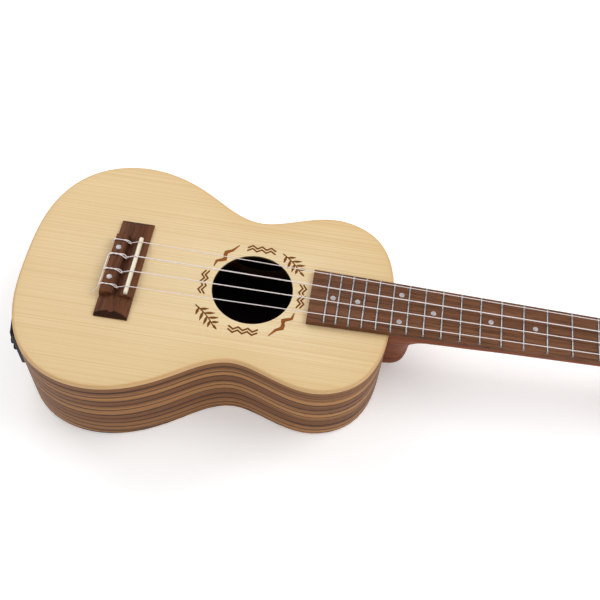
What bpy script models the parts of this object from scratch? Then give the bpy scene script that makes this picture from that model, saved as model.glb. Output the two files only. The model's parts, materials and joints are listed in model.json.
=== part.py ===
"""Concert ukulele with a pickup panel on its tail.

Everything is modelled in the instrument's own frame: x runs along the strings from the saddle
(x = 0) towards the head, y points to the bass side, and z = 0 is the outer face of the soundboard.
The frame is an empty, tilted so that the flat back lies on the world's z = 0 plane.
"""
import math

import bmesh
import bpy
import numpy as np
from mathutils import Matrix, Vector

GAP = 0.0003
OVERLAP = 0.0002

# Scale and body
SCALE_LENGTH = 0.380
DEPTH_AT_SADDLE = 0.0758
DEPTH_TAPER = 0.042
NECK_JOINT_X = 0.190
TAIL_X = -0.082
REST_X = 0.054
HALF_OUTLINE = [
    (TAIL_X, 0.0), (-0.0806, 0.030), (-0.074, 0.0568), (-0.058, 0.0808), (-0.035, 0.0943),
    (-0.009, 0.0978), (0.018, 0.0923), (0.048, 0.0766), (0.068, 0.065), (0.084, 0.0613),
    (0.100, 0.0643), (0.122, 0.0718), (0.141, 0.0750), (0.158, 0.0718), (0.174, 0.0618),
    (0.1845, 0.045), (NECK_JOINT_X, 0.021),
]
OUTLINE_STEPS = 60
TOP_THICKNESS = 0.0028
TOP_EDGE_RADIUS = 0.0020
BACK_THICKNESS = 0.0025
BACK_EDGE_RADIUS = 0.0015
RIB_THICKNESS = 0.0022
SOUNDHOLE_X = 0.0875
SOUNDHOLE_RADIUS = 0.0295

# Inside the body
LINING_THICKNESS = 0.0035
LINING_HEIGHT = 0.008
BLOCK_HALF_WIDTH = 0.020
TAIL_BLOCK_LENGTH = 0.013
NECK_BLOCK_LENGTH = 0.024
BRACE_WIDTH = 0.006
BRACE_HEIGHT = 0.008
TOP_BRACES = {"top_brace_upper": 0.127, "top_brace_lower": 0.048}
BACK_BRACES = {"back_brace_upper": 0.132, "back_brace_lower": 0.004}
BRIDGE_PLATE = (-0.026, 0.012, 0.048, 0.002)

# Bridge and saddle
BRIDGE_REAR_X = -0.0193
BRIDGE_FRONT_X = 0.0049
BRIDGE_HALF_LENGTH = 0.0425
BRIDGE_BLOCK_HALF_LENGTH = 0.026
WING_EDGE_HEIGHT = 0.0018
WING_CROWN_HEIGHT = 0.0042
TIE_BLOCK_HEIGHT = 0.0078
TIE_BLOCK_FRONT_X = -0.0092
CHANNEL_FLOOR_HEIGHT = 0.0034
CHANNEL_FRONT_X = -0.0066
LEDGE_HEIGHT = 0.0062
SADDLE_HALF_LENGTH = 0.0248
SADDLE_THICKNESS = 0.0028
SADDLE_TOP = 0.0092
SADDLE_SLOT_FLOOR = 0.0024
PICKUP_STRIP_HEIGHT = 0.0012
TIE_HOLE_RADIUS = 0.0009
TIE_HOLE_HEIGHT = 0.0052

# Fretboard, frets and nut
BOARD_START_X = 0.130
BOARD_THICKNESS = 0.0043
BOARD_HALF_WIDTH = 0.0225
BOARD_TAPER = 0.0212
FRET_COUNT = 17
FRET_HALF_WIDTH = 0.0010
FRET_CROWN = 0.0009
FRET_TANG_HALF_WIDTH = 0.00035
FRET_TANG_DEPTH = 0.0014
FRET_SLOT_DEPTH = 0.0018
NUT_LENGTH = 0.0042
NUT_TOP = 0.0078
NUT_SLOT_DEPTH = 0.0016
NUT_SLOT_HALF_WIDTH = 0.0009

# Neck, heel and headstock
NECK_END_X = SCALE_LENGTH + NUT_LENGTH + GAP
HEADSTOCK_ANGLE = math.radians(12.0)
HEADSTOCK_LENGTH = 0.142
HEADSTOCK_THICKNESS = 0.0115

# Strings, bass side first
STRING_NAMES = ["g", "c", "e", "a"]
STRING_RADII = [0.00031, 0.00045, 0.00038, 0.00031]
SADDLE_SPACING = 0.0132
NUT_SPACING = 0.0090

# Tuning machines
POST_U = {"near": 0.040, "far": 0.098}
POST_V = 0.0165
POST_RADIUS = 0.0030
POST_HOLE_RADIUS = 0.0034
POST_HEIGHT = 0.0095
POST_NECK_HEIGHT = 0.0058
TUNER_PLATE_THICKNESS = 0.0010
TUNER_PLATE_SIZE = (0.024, 0.013)
GEAR_TEETH = 14
GEAR_PITCH_RADIUS = 0.0046
GEAR_TIP = 0.00030
GEAR_ROOT = 0.00075
GEAR_HALF_THICKNESS = 0.0011
WORM_PITCH_RADIUS = 0.0021
WORM_DEPTH = 0.00048
WORM_TURNS = 3
WORM_AXIS_DROP = 0.0164
SHAFT_RADIUS = 0.0012
SHAFT_HOLE_RADIUS = 0.0016
WORM_SIDES = 12
PLATE_START = -0.0085
EAR_HALF_WIDTH = 0.0028
EAR_THICKNESS = 0.0012
EAR_REACH = 0.0030
HEADSTOCK_EDGE_V = 0.0270
BUTTON_RADIUS = 0.0078
BUTTON_LENGTH = 0.012
BUTTON_CLEARANCE = 0.0018
BUTTON_STATIONS = [
    (0.0, 0.35, 0.8), (0.08, 0.62, 0.46), (0.25, 0.88, 0.46), (0.5, 1.0, 0.46),
    (0.75, 0.94, 0.46), (0.92, 0.72, 0.46), (1.0, 0.45, 0.46),
]

# Pickup panel on the tail, treble side
PANEL_CENTRE_Y = -0.0405
PANEL_CENTRE_Z = -0.0375
PANEL_HALF_WIDTH = 0.0190
PANEL_HALF_HEIGHT = 0.0230
PANEL_THICKNESS = 0.0030
PANEL_CORNER = 0.004
PREAMP_HALF_WIDTH = 0.0165
PREAMP_HALF_HEIGHT = 0.0205
PREAMP_DEPTH = 0.017
PREAMP_FRONT_N = -0.0022
KNOB_RADIUS = 0.0034
KNOB_HEIGHT = 0.0018
KNOB_SHAFT_RADIUS = 0.0015
KNOB_SHAFT_HOLE_RADIUS = 0.0020
KNOB_PLACES = {"knob_volume": (0.0125, 0.0045), "knob_tone": (0.0125, -0.0045)}
JACK_PLACE = (-0.0070, 0.0020)
JACK_RADIUS = 0.0052
JACK_SOCKET_RADIUS = 0.0033
JACK_STAND_OUT = 0.0034
JACK_LENGTH = 0.0150


def clear_scene():
    for old in list(bpy.data.objects):
        bpy.data.objects.remove(old)


def make_material(name, colour, roughness, metallic=0.0):
    material = bpy.data.materials.new(name)
    material.use_nodes = True
    shader = material.node_tree.nodes["Principled BSDF"]
    shader.inputs["Base Color"].default_value = (*colour, 1.0)
    shader.inputs["Roughness"].default_value = roughness
    shader.inputs["Metallic"].default_value = metallic
    return material


def make_materials():
    return {
        "spruce": make_material("spruce", (0.82, 0.62, 0.34), 0.45),
        "zebrano": make_material("zebrano", (0.38, 0.20, 0.10), 0.45),
        "rosewood": make_material("rosewood", (0.14, 0.065, 0.035), 0.5),
        "mahogany": make_material("mahogany", (0.26, 0.09, 0.05), 0.4),
        "cedar": make_material("cedar", (0.55, 0.34, 0.17), 0.7),
        "bone": make_material("bone", (0.86, 0.82, 0.70), 0.35),
        "nickel": make_material("nickel", (0.72, 0.72, 0.74), 0.25, 1.0),
        "nylon": make_material("nylon", (0.85, 0.78, 0.78), 0.3),
        "black_plastic": make_material("black_plastic", (0.015, 0.015, 0.017), 0.4),
        "knob_rubber": make_material("knob_rubber", (0.03, 0.03, 0.035), 0.6),
        "piezo": make_material("piezo", (0.35, 0.34, 0.32), 0.4, 0.6),
    }


def add_object(name, mesh_builder, material, parent, location=(0.0, 0.0, 0.0), sharp_degrees=35.0):
    """Turns a bmesh into a smooth-shaded object under the given parent."""
    bmesh.ops.recalc_face_normals(mesh_builder, faces=mesh_builder.faces)
    mesh = bpy.data.meshes.new(name)
    mesh_builder.to_mesh(mesh)
    mesh_builder.free()
    mesh.shade_smooth()
    mesh.set_sharp_from_angle(angle=math.radians(sharp_degrees))
    mesh.materials.append(material)
    thing = bpy.data.objects.new(name, mesh)
    bpy.context.collection.objects.link(thing)
    thing.parent = parent
    thing.location = location
    return thing


def add_frame(name, parent=None):
    frame = bpy.data.objects.new(name, None)
    frame.empty_display_size = 0.02
    bpy.context.collection.objects.link(frame)
    frame.parent = parent
    return frame


def loft(rings):
    """Closed solid through rings of equal length, with a flat cap on each end."""
    builder = bmesh.new()
    loops = [[builder.verts.new(point) for point in ring] for ring in rings]
    count = len(rings[0])
    for lower, upper in zip(loops, loops[1:]):
        for i in range(count):
            j = (i + 1) % count
            builder.faces.new((lower[i], lower[j], upper[j], upper[i]))
    builder.faces.new(loops[0])
    builder.faces.new(loops[-1])
    return builder


def box_builder(low, high):
    corners = [(low[0], low[1]), (high[0], low[1]), (high[0], high[1]), (low[0], high[1])]
    return loft([[(x, y, z) for x, y in corners] for z in (low[2], high[2])])


def circle(radius, steps, height=0.0, turn=0.0):
    angles = [turn + 2.0 * math.pi * i / steps for i in range(steps)]
    return [(radius * math.cos(a), radius * math.sin(a), height) for a in angles]


def turned(profile, steps=24):
    """Solid of revolution about local z from (radius, height) pairs."""
    return loft([circle(radius, steps, height) for radius, height in profile])


def combine(thing, name, mesh_builder, parent, matrix, operation):
    """Joins or subtracts a hidden solid, placed by a matrix in the parent's frame."""
    bmesh.ops.recalc_face_normals(mesh_builder, faces=mesh_builder.faces)
    mesh = bpy.data.meshes.new(name)
    mesh_builder.to_mesh(mesh)
    mesh_builder.free()
    helper = bpy.data.objects.new(name, mesh)
    bpy.context.collection.objects.link(helper)
    helper.parent = parent
    helper.matrix_local = matrix
    helper.hide_render = True
    helper.display_type = "WIRE"
    modifier = thing.modifiers.new(name, "BOOLEAN")
    modifier.operation = operation
    modifier.object = helper


def cut(thing, name, mesh_builder, parent, matrix):
    combine(thing, name, mesh_builder, parent, matrix, "DIFFERENCE")


def join(thing, name, mesh_builder, parent, matrix):
    combine(thing, name, mesh_builder, parent, matrix, "UNION")


def smooth_curve(points, steps, start_slope, end_slope):
    """Cubic spline through points by chord length, with given end directions."""
    nodes = np.array(points, dtype=float)
    chords = np.linalg.norm(np.diff(nodes, axis=0), axis=1)
    knots = np.concatenate([[0.0], np.cumsum(chords)])
    size = len(nodes)
    system = np.zeros((size, size))
    target = np.zeros((size, 2))
    system[0, 0] = 1.0
    system[-1, -1] = 1.0
    target[0] = start_slope
    target[-1] = end_slope
    for i in range(1, size - 1):
        before = chords[i - 1]
        after = chords[i]
        system[i, i - 1] = after
        system[i, i] = 2.0 * (before + after)
        system[i, i + 1] = before
        rise_before = (nodes[i] - nodes[i - 1]) / before
        rise_after = (nodes[i + 1] - nodes[i]) / after
        target[i] = 3.0 * (after * rise_before + before * rise_after)
    slopes = np.linalg.solve(system, target)
    result = []
    for s in np.linspace(0.0, knots[-1], steps + 1):
        i = min(int(np.searchsorted(knots, s, side="right")) - 1, size - 2)
        span = chords[i]
        t = (s - knots[i]) / span
        value = (
            (2 * t**3 - 3 * t**2 + 1) * nodes[i]
            + (t**3 - 2 * t**2 + t) * span * slopes[i]
            + (-2 * t**3 + 3 * t**2) * nodes[i + 1]
            + (t**3 - t**2) * span * slopes[i + 1]
        )
        result.append(value)
    return np.array(result)


def half_outline(offset=0.0):
    """Bass half of the body outline from tail to neck joint, moved inwards by offset."""
    curve = smooth_curve(HALF_OUTLINE, OUTLINE_STEPS, (0.0, 1.0), (0.12, -0.993))
    curve = np.vstack([curve, [(NECK_JOINT_X + 0.0003, 0.0)]])
    tangents = np.gradient(curve, axis=0)
    tangents[0] = (0.0, 1.0)
    tangents[-1] = (0.0, -1.0)
    tangents /= np.linalg.norm(tangents, axis=1)[:, None]
    inward = np.column_stack([tangents[:, 1], -tangents[:, 0]])
    moved = curve + offset * inward
    moved[0, 1] = 0.0
    moved[-1, 1] = 0.0
    return moved


def full_outline(offset=0.0):
    bass = half_outline(offset)
    treble = [(x, -y) for x, y in bass[-2:0:-1]]
    return [tuple(point) for point in bass] + treble


def back_z(x):
    """Height of the flat outer back face at x."""
    return -DEPTH_AT_SADDLE + DEPTH_TAPER * x


def board_half_width(x):
    return BOARD_HALF_WIDTH - BOARD_TAPER * (x - BOARD_START_X)


def fret_x(number):
    return SCALE_LENGTH / 2.0 ** (number / 12.0)


def add_soundboard(parent, material):
    rings = [[(x, y, -TOP_THICKNESS) for x, y in full_outline()]]
    arc_steps = 3
    for i in range(arc_steps + 1):
        angle = math.pi / 2 * i / arc_steps
        inset = TOP_EDGE_RADIUS * (1.0 - math.cos(angle))
        height = TOP_EDGE_RADIUS * (math.sin(angle) - 1.0)
        rings.append([(x, y, height) for x, y in full_outline(inset)])
    top = add_object("soundboard", loft(rings), material, parent)
    hole = loft([circle(SOUNDHOLE_RADIUS, 48, z) for z in (-0.01, 0.01)])
    cut(top, "soundhole_cutter", hole, parent, Matrix.Translation((SOUNDHOLE_X, 0.0, 0.0)))


def add_back(parent, material):
    rings = []
    arc_steps = 2
    for i in range(arc_steps + 1):
        angle = math.pi / 2 * (1.0 - i / arc_steps)
        inset = BACK_EDGE_RADIUS * (1.0 - math.cos(angle))
        lift = BACK_EDGE_RADIUS * (1.0 - math.sin(angle))
        rings.append([(x, y, back_z(x) + lift) for x, y in full_outline(inset)])
    rings.append([(x, y, back_z(x) + BACK_THICKNESS) for x, y in full_outline()])
    add_object("back_plate", loft(rings), material, parent)


def wall_strip(name, side, outer, inner, low, high, material, parent):
    """Upright strip between two half outlines; low and high give its edges at x."""
    rings = []
    for (xo, yo), (xi, yi) in zip(outer, inner):
        yo = side * max(yo, GAP / 2)
        yi = side * max(yi, GAP / 2)
        rings.append([(xo, yo, low(xo)), (xo, yo, high(xo)), (xi, yi, high(xi)), (xi, yi, low(xi))])
    return add_object(name, loft(rings), material, parent)


def add_ribs(parent, material):
    def low(x):
        return back_z(x) + BACK_THICKNESS + GAP

    def high(_x):
        return -TOP_THICKNESS - GAP

    outer = half_outline()
    inner = half_outline(RIB_THICKNESS)
    wall_strip("side_bass", 1.0, outer, inner, low, high, material, parent)
    return wall_strip("side_treble", -1.0, outer, inner, low, high, material, parent)


def add_linings(parent, material):
    outer = half_outline(RIB_THICKNESS + GAP)
    inner = half_outline(RIB_THICKNESS + GAP + LINING_THICKNESS)
    clear = BLOCK_HALF_WIDTH + GAP
    kept = [i for i in range(len(outer)) if min(outer[i][1], inner[i][1]) > clear]
    outer = outer[kept]
    inner = inner[kept]
    top = -TOP_THICKNESS - GAP
    for side, label in ((1.0, "bass"), (-1.0, "treble")):
        wall_strip(
            f"lining_top_{label}", side, outer, inner,
            lambda x: top - LINING_HEIGHT, lambda x: top, material, parent,
        )
        wall_strip(
            f"lining_back_{label}", side, outer, inner,
            lambda x: back_z(x) + BACK_THICKNESS + GAP,
            lambda x: back_z(x) + BACK_THICKNESS + GAP + LINING_HEIGHT, material, parent,
        )


def add_block(name, x_low, x_high, material, parent):
    """End block reaching from the back plate to the soundboard."""
    corners = [
        (x_low, -BLOCK_HALF_WIDTH), (x_high, -BLOCK_HALF_WIDTH),
        (x_high, BLOCK_HALF_WIDTH), (x_low, BLOCK_HALF_WIDTH),
    ]
    bottom = [(x, y, back_z(x) + BACK_THICKNESS + GAP) for x, y in corners]
    top = [(x, y, -TOP_THICKNESS - GAP) for x, y in corners]
    add_object(name, loft([bottom, top]), material, parent)


def add_blocks(parent, material):
    inner = half_outline(RIB_THICKNESS + 2 * GAP)
    tail = max(x for x, y in inner if x < 0.0 and y < BLOCK_HALF_WIDTH + GAP)
    tail += 0.0004
    add_block("tail_block", tail, tail + TAIL_BLOCK_LENGTH, material, parent)
    head = NECK_JOINT_X - RIB_THICKNESS - 2 * GAP
    add_block("neck_block", head - NECK_BLOCK_LENGTH, head, material, parent)


def brace_rings(x_centre, half_length, seat, direction, skew):
    """Brace across the body: low at its ends, full height in the middle."""
    rings = []
    for share in (-1.0, -0.82, -0.6, 0.6, 0.82, 1.0):
        height = BRACE_HEIGHT * (1.0 if abs(share) < 0.7 else (0.75 if abs(share) < 0.9 else 0.35))
        y = share * half_length
        left = x_centre - BRACE_WIDTH / 2
        right = x_centre + BRACE_WIDTH / 2
        crest = BRACE_WIDTH * 0.22
        rings.append([
            (left, y, seat + skew * (left - x_centre)),
            (right, y, seat + skew * (right - x_centre)),
            (right, y, seat + direction * height * 0.6 + skew * (right - x_centre)),
            (x_centre + crest, y, seat + direction * height),
            (x_centre - crest, y, seat + direction * height),
            (left, y, seat + direction * height * 0.6 + skew * (left - x_centre)),
        ])
    return rings


def inner_half_width(x):
    """Half of the clear width between the linings at x."""
    inner = half_outline(RIB_THICKNESS + LINING_THICKNESS + 3 * GAP)
    near = [y for px, y in inner if abs(px - x) < 0.006]
    return min(near) - GAP


def add_braces(parent, material):
    for name, x in TOP_BRACES.items():
        seat = -TOP_THICKNESS - GAP
        rings = brace_rings(x, inner_half_width(x), seat, -1.0, 0.0)
        add_object(name, loft(rings), material, parent)
    for name, x in BACK_BRACES.items():
        seat = back_z(x) + BACK_THICKNESS + GAP
        rings = brace_rings(x, inner_half_width(x), seat, 1.0, DEPTH_TAPER)
        add_object(name, loft(rings), material, parent)
    x_low, x_high, half_width, thickness = BRIDGE_PLATE
    top = -TOP_THICKNESS - GAP
    plate = box_builder((x_low, -half_width, top - thickness), (x_high, half_width, top))
    add_object("bridge_plate", plate, material, parent)


def wing_height(x):
    """Crowned top of the bridge's wings across their width."""
    middle = (BRIDGE_REAR_X + BRIDGE_FRONT_X) / 2
    share = (x - middle) / (BRIDGE_FRONT_X - middle)
    return WING_CROWN_HEIGHT - (WING_CROWN_HEIGHT - WING_EDGE_HEIGHT) * share**2


def bridge_profile():
    """Outer profile of the bridge's centre block, from rear to front, over the base."""
    front = BRIDGE_FRONT_X
    return [
        (BRIDGE_REAR_X, 0.0056), (BRIDGE_REAR_X + 0.0006, TIE_BLOCK_HEIGHT - 0.0004),
        (BRIDGE_REAR_X + 0.0016, TIE_BLOCK_HEIGHT), (-0.0145, TIE_BLOCK_HEIGHT + 0.0002),
        (TIE_BLOCK_FRONT_X - 0.0008, TIE_BLOCK_HEIGHT), (TIE_BLOCK_FRONT_X, TIE_BLOCK_HEIGHT - 0.0006),
        (TIE_BLOCK_FRONT_X + 0.0002, CHANNEL_FLOOR_HEIGHT), (CHANNEL_FRONT_X, CHANNEL_FLOOR_HEIGHT),
        (-0.0040, LEDGE_HEIGHT - 0.0004), (-0.0026, LEDGE_HEIGHT), (0.0022, LEDGE_HEIGHT),
        (front - 0.0008, LEDGE_HEIGHT - 0.0010), (front, LEDGE_HEIGHT - 0.0028),
    ]


def add_bridge(parent, material):
    profile = bridge_profile()
    base = GAP
    rings = []
    block = BRIDGE_BLOCK_HALF_LENGTH
    for y, share in (
        (-BRIDGE_HALF_LENGTH, 0.0), (-block - 0.0012, 0.0), (-block, 0.85), (-block + 0.0007, 1.0),
        (block - 0.0007, 1.0), (block, 0.85), (block + 0.0012, 0.0), (BRIDGE_HALF_LENGTH, 0.0),
    ):
        ring = [(BRIDGE_FRONT_X, y, base), (BRIDGE_REAR_X, y, base)]
        for x, z in profile:
            low = min(wing_height(x), z)
            ring.append((x, y, base + low + share * (z - low)))
        rings.append(ring)
    bridge = add_object("bridge", loft(rings), material, parent)
    half_slot = SADDLE_THICKNESS / 2 + GAP
    slot_end = SADDLE_HALF_LENGTH + GAP
    slot = box_builder((-half_slot, -slot_end, SADDLE_SLOT_FLOOR), (half_slot, slot_end, 0.02))
    cut(bridge, "saddle_slot_cutter", slot, parent, Matrix.Identity(4))
    for i, name in enumerate(STRING_NAMES):
        hole = loft([circle(TIE_HOLE_RADIUS, 12, z) for z in (-0.012, 0.006)])
        y = string_y(i, SADDLE_SPACING)
        place = Matrix.Translation((TIE_BLOCK_FRONT_X - 0.002, y, TIE_HOLE_HEIGHT))
        turn = Matrix.Rotation(math.pi / 2, 4, "Y")
        cut(bridge, f"tie_hole_cutter_{name}", hole, parent, place @ turn)


def string_y(index, spacing):
    return (1.5 - index) * spacing


def add_saddle(parent, materials):
    half = SADDLE_THICKNESS / 2
    strip_low = SADDLE_SLOT_FLOOR + GAP
    strip_top = strip_low + PICKUP_STRIP_HEIGHT
    strip = box_builder(
        (-half + 0.0002, -SADDLE_HALF_LENGTH, strip_low), (half - 0.0002, SADDLE_HALF_LENGTH, strip_top)
    )
    add_object("pickup_strip", strip, materials["piezo"], parent)
    bottom = strip_top + GAP
    shoulder = SADDLE_TOP - 0.0009
    rings = []
    for share in (-1.0, -0.985, -0.95, 0.95, 0.985, 1.0):
        inset = {0.95: 0.0, 0.985: 0.0003, 1.0: 0.0009}[abs(share)]
        y = share * SADDLE_HALF_LENGTH
        rings.append([
            (-half, y, bottom), (half, y, bottom), (half, y, shoulder - inset),
            (half * 0.6, y, SADDLE_TOP - 0.0002 - inset), (0.0, y, SADDLE_TOP - inset),
            (-half * 0.6, y, SADDLE_TOP - 0.0002 - inset), (-half, y, shoulder - inset),
        ])
    add_object("saddle", loft(rings), materials["bone"], parent)


def add_fretboard(parent, material):
    """Tapered board with a slot under every fret."""
    bottom = GAP
    top = GAP + BOARD_THICKNESS
    profile = [(BOARD_START_X, bottom), (BOARD_START_X, top)]
    half_slot = FRET_TANG_HALF_WIDTH + GAP
    for number in range(FRET_COUNT, 0, -1):
        x = fret_x(number)
        profile += [
            (x - half_slot, top), (x - half_slot, top - FRET_SLOT_DEPTH),
            (x + half_slot, top - FRET_SLOT_DEPTH), (x + half_slot, top),
        ]
    profile += [(SCALE_LENGTH, top), (SCALE_LENGTH, bottom)]
    rings = [[(x, side * board_half_width(x), z) for x, z in profile] for side in (-1.0, 1.0)]
    add_object("fretboard", loft(rings), material, parent)


def add_frets(parent, material):
    base = GAP + BOARD_THICKNESS + GAP
    crown = [
        (-FRET_HALF_WIDTH, 0.0), (-FRET_HALF_WIDTH * 0.75, FRET_CROWN * 0.7), (0.0, FRET_CROWN),
        (FRET_HALF_WIDTH * 0.75, FRET_CROWN * 0.7), (FRET_HALF_WIDTH, 0.0),
    ]
    tang = [
        (FRET_TANG_HALF_WIDTH, 0.0), (FRET_TANG_HALF_WIDTH, -FRET_TANG_DEPTH),
        (-FRET_TANG_HALF_WIDTH, -FRET_TANG_DEPTH), (-FRET_TANG_HALF_WIDTH, 0.0),
    ]
    for number in range(1, FRET_COUNT + 1):
        x = fret_x(number)
        half_length = board_half_width(x) - 0.0001
        rings = []
        for side in (-1.0, 1.0):
            ends = ((0.0, 0.15), (0.0008, 1.0))
            for inset, squash in ends if side < 0 else ends[::-1]:
                y = side * (half_length - inset)
                upper = [(dx, y, base + dz * squash) for dx, dz in crown]
                lower = [(dx, y, base + dz) for dx, dz in tang]
                rings.append(upper + lower)
        add_object(f"fret_{number:02d}", loft(rings), material, parent, (x, 0.0, 0.0))


def add_nut(parent, material):
    half = board_half_width(SCALE_LENGTH)
    profile = [(-half, GAP), (-half, NUT_TOP - 0.0008), (-half + 0.0008, NUT_TOP)]
    for i in range(3, -1, -1):
        y = string_y(i, NUT_SPACING)
        floor = NUT_TOP - NUT_SLOT_DEPTH
        profile += [
            (y - NUT_SLOT_HALF_WIDTH, NUT_TOP), (y - NUT_SLOT_HALF_WIDTH * 0.8, floor),
            (y + NUT_SLOT_HALF_WIDTH * 0.8, floor), (y + NUT_SLOT_HALF_WIDTH, NUT_TOP),
        ]
    profile += [(half - 0.0008, NUT_TOP), (half, NUT_TOP - 0.0008), (half, GAP)]
    front = SCALE_LENGTH + GAP
    rings = []
    for x, drop in ((front, 0.0), (front + NUT_LENGTH * 0.45, 0.0), (front + NUT_LENGTH, 0.0014)):
        rings.append([(x, y, z - (drop if z > 0.004 else 0.0)) for y, z in profile])
    add_object("nut", loft(rings), material, parent)


def neck_ring(pivot, nose, half_width, fullness):
    """D-shaped section: a flat edge through pivot and a rounded side reaching the nose."""
    steps = 16
    ring = []
    for i in range(steps + 1):
        angle = math.pi * (i / steps - 0.5)
        across = math.copysign(abs(math.sin(angle)) ** (2.0 / fullness), math.sin(angle))
        along = abs(math.cos(angle)) ** (2.0 / fullness)
        x = pivot[0] + along * (nose[0] - pivot[0])
        z = pivot[1] + along * (nose[1] - pivot[1])
        ring.append((x, across * half_width, z))
    return ring


def add_neck(parent, material):
    """Heel and neck in one piece: sections swing from level in the heel to upright in the neck."""
    joint = NECK_JOINT_X + 2 * GAP
    heel = [
        (-0.0622, (0.2015, -0.0622), 0.0076), (-0.0616, (0.2045, -0.0613), 0.0090),
        (-0.0592, (0.2068, -0.0580), 0.0100), (-0.0520, (0.2082, -0.0500), 0.0108),
        (-0.0440, (0.2086, -0.0420), 0.0118), (-0.0360, (0.2090, -0.0350), 0.0131),
        (-0.0280, (0.2096, -0.0292), 0.0149), (-0.0200, (0.2110, -0.0244), 0.0169),
        (-0.0120, (0.2134, -0.0206), 0.0189), (-0.0050, (0.2166, -0.0180), 0.0203),
        (0.0, (0.2205, -0.0160), 0.0211),
    ]
    rings = [neck_ring((joint, z), nose, half_width, 2.7) for z, nose, half_width in heel]
    for x, nose in (
        (0.205, (0.2260, -0.0148)), (0.218, (0.2325, -0.0142)),
        (0.232, (0.2400, -0.0139)), (0.250, (0.2520, -0.0138)),
    ):
        rings.append(neck_ring((x, 0.0), nose, board_half_width(x), 2.4))
    for i in range(1, 7):
        x = 0.252 + (NECK_END_X - 0.252) * i / 6
        depth = 0.0138 - 0.0016 * i / 6
        lean = depth * math.tan(HEADSTOCK_ANGLE) if i == 6 else 0.0
        rings.append(neck_ring((x, 0.0), (x - lean, -depth), board_half_width(x), 2.2))
    add_object("neck", loft(rings), material, parent)


def headstock_outline():
    """Bass half of the headstock from the nut round to the middle of its crest."""
    points = [(0.0, 0.0172), (0.014, 0.0186), (0.030, 0.0252), (0.044, 0.0262), (0.068, 0.0248),
              (0.096, 0.0250), (0.120, 0.0268), (0.130, 0.0258), (0.1345, 0.0200), (0.1360, 0.0100),
              (HEADSTOCK_LENGTH - 0.0052, 0.0)]
    return smooth_curve(points, 40, (0.999, 0.03), (0.0, -1.0))


def add_headstock(frame, material):
    half = [(x, y) for x, y in headstock_outline()]
    half[-1] = (half[-1][0], 0.0)
    outline = half + [(x, -y) for x, y in half[-2::-1]]
    bevel = 0.0012
    rings = []
    centre = Vector((HEADSTOCK_LENGTH / 2, 0.0))
    for height, inset in (
        (-HEADSTOCK_THICKNESS, bevel), (-HEADSTOCK_THICKNESS + bevel, 0.0), (-bevel * 0.5, 0.0),
        (0.0, bevel * 0.5),
    ):
        ring = []
        for x, y in outline:
            towards = centre - Vector((x, y))
            length = max(towards.length, 1e-6)
            shift = 0.0 if x < 1e-6 else inset / length
            ring.append((x + towards.x * shift, y + towards.y * shift, height))
        rings.append(ring)
    head = add_object("headstock", loft(rings), material, frame)
    for label, (u, v) in post_places().items():
        hole = loft([circle(POST_HOLE_RADIUS, 20, z) for z in (-0.02, 0.01)])
        cut(head, f"post_hole_cutter_{label}", hole, frame, Matrix.Translation((u, v, 0.0)))


def post_places():
    near = POST_U["near"]
    far = POST_U["far"]
    return {"g": (near, POST_V), "c": (far, POST_V), "e": (far, -POST_V), "a": (near, -POST_V)}


def worm_offset():
    return GEAR_PITCH_RADIUS + WORM_PITCH_RADIUS


def gear_pitch():
    return 2.0 * math.pi * GEAR_PITCH_RADIUS / GEAR_TEETH


def add_tuner_plate(label, u, v, frame, material):
    """Plate on the back of the headstock with two drilled ears that carry the worm shaft."""
    length, width = TUNER_PLATE_SIZE
    top = -HEADSTOCK_THICKNESS - GAP
    bottom = top - TUNER_PLATE_THICKNESS
    plate = box_builder((PLATE_START, -width / 2, bottom), (PLATE_START + length, width / 2, top))
    thing = add_object(f"tuner_plate_{label}", plate, material, frame, (u, v, 0.0))
    place = Matrix.Translation((u, v, 0.0))
    for end, sign in (("in", -1.0), ("out", 1.0)):
        middle = sign * (width - EAR_THICKNESS) / 2
        ear = box_builder(
            (worm_offset() - EAR_HALF_WIDTH, middle - EAR_THICKNESS / 2, -WORM_AXIS_DROP - EAR_REACH),
            (worm_offset() + EAR_HALF_WIDTH, middle + EAR_THICKNESS / 2, bottom + OVERLAP),
        )
        join(thing, f"tuner_ear_{end}_{label}", ear, frame, place)
    bore = loft([circle(SHAFT_HOLE_RADIUS, 16, z) for z in (-0.02, 0.02)])
    axis = Matrix.Translation((u + worm_offset(), v, -WORM_AXIS_DROP)) @ Matrix.Rotation(math.pi / 2, 4, "X")
    cut(thing, f"shaft_bore_cutter_{label}", bore, frame, axis)
    post_bore = loft([circle(POST_HOLE_RADIUS, 20, z) for z in (-0.02, 0.0)])
    cut(thing, f"post_bore_cutter_{label}", post_bore, frame, place)


def gear_ring(height, turn):
    """One outline of the gear: straight-sided teeth on a round root."""
    pitch_angle = 2.0 * math.pi / GEAR_TEETH
    tip = GEAR_PITCH_RADIUS + GEAR_TIP
    root = GEAR_PITCH_RADIUS - GEAR_ROOT
    ring = []
    for tooth in range(GEAR_TEETH):
        base = tooth * pitch_angle + turn
        for radius, share in ((root, -0.22), (tip, -0.10), (tip, 0.10), (root, 0.22)):
            angle = base + share * pitch_angle
            ring.append((radius * math.cos(angle), radius * math.sin(angle), height))
    return ring


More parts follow.
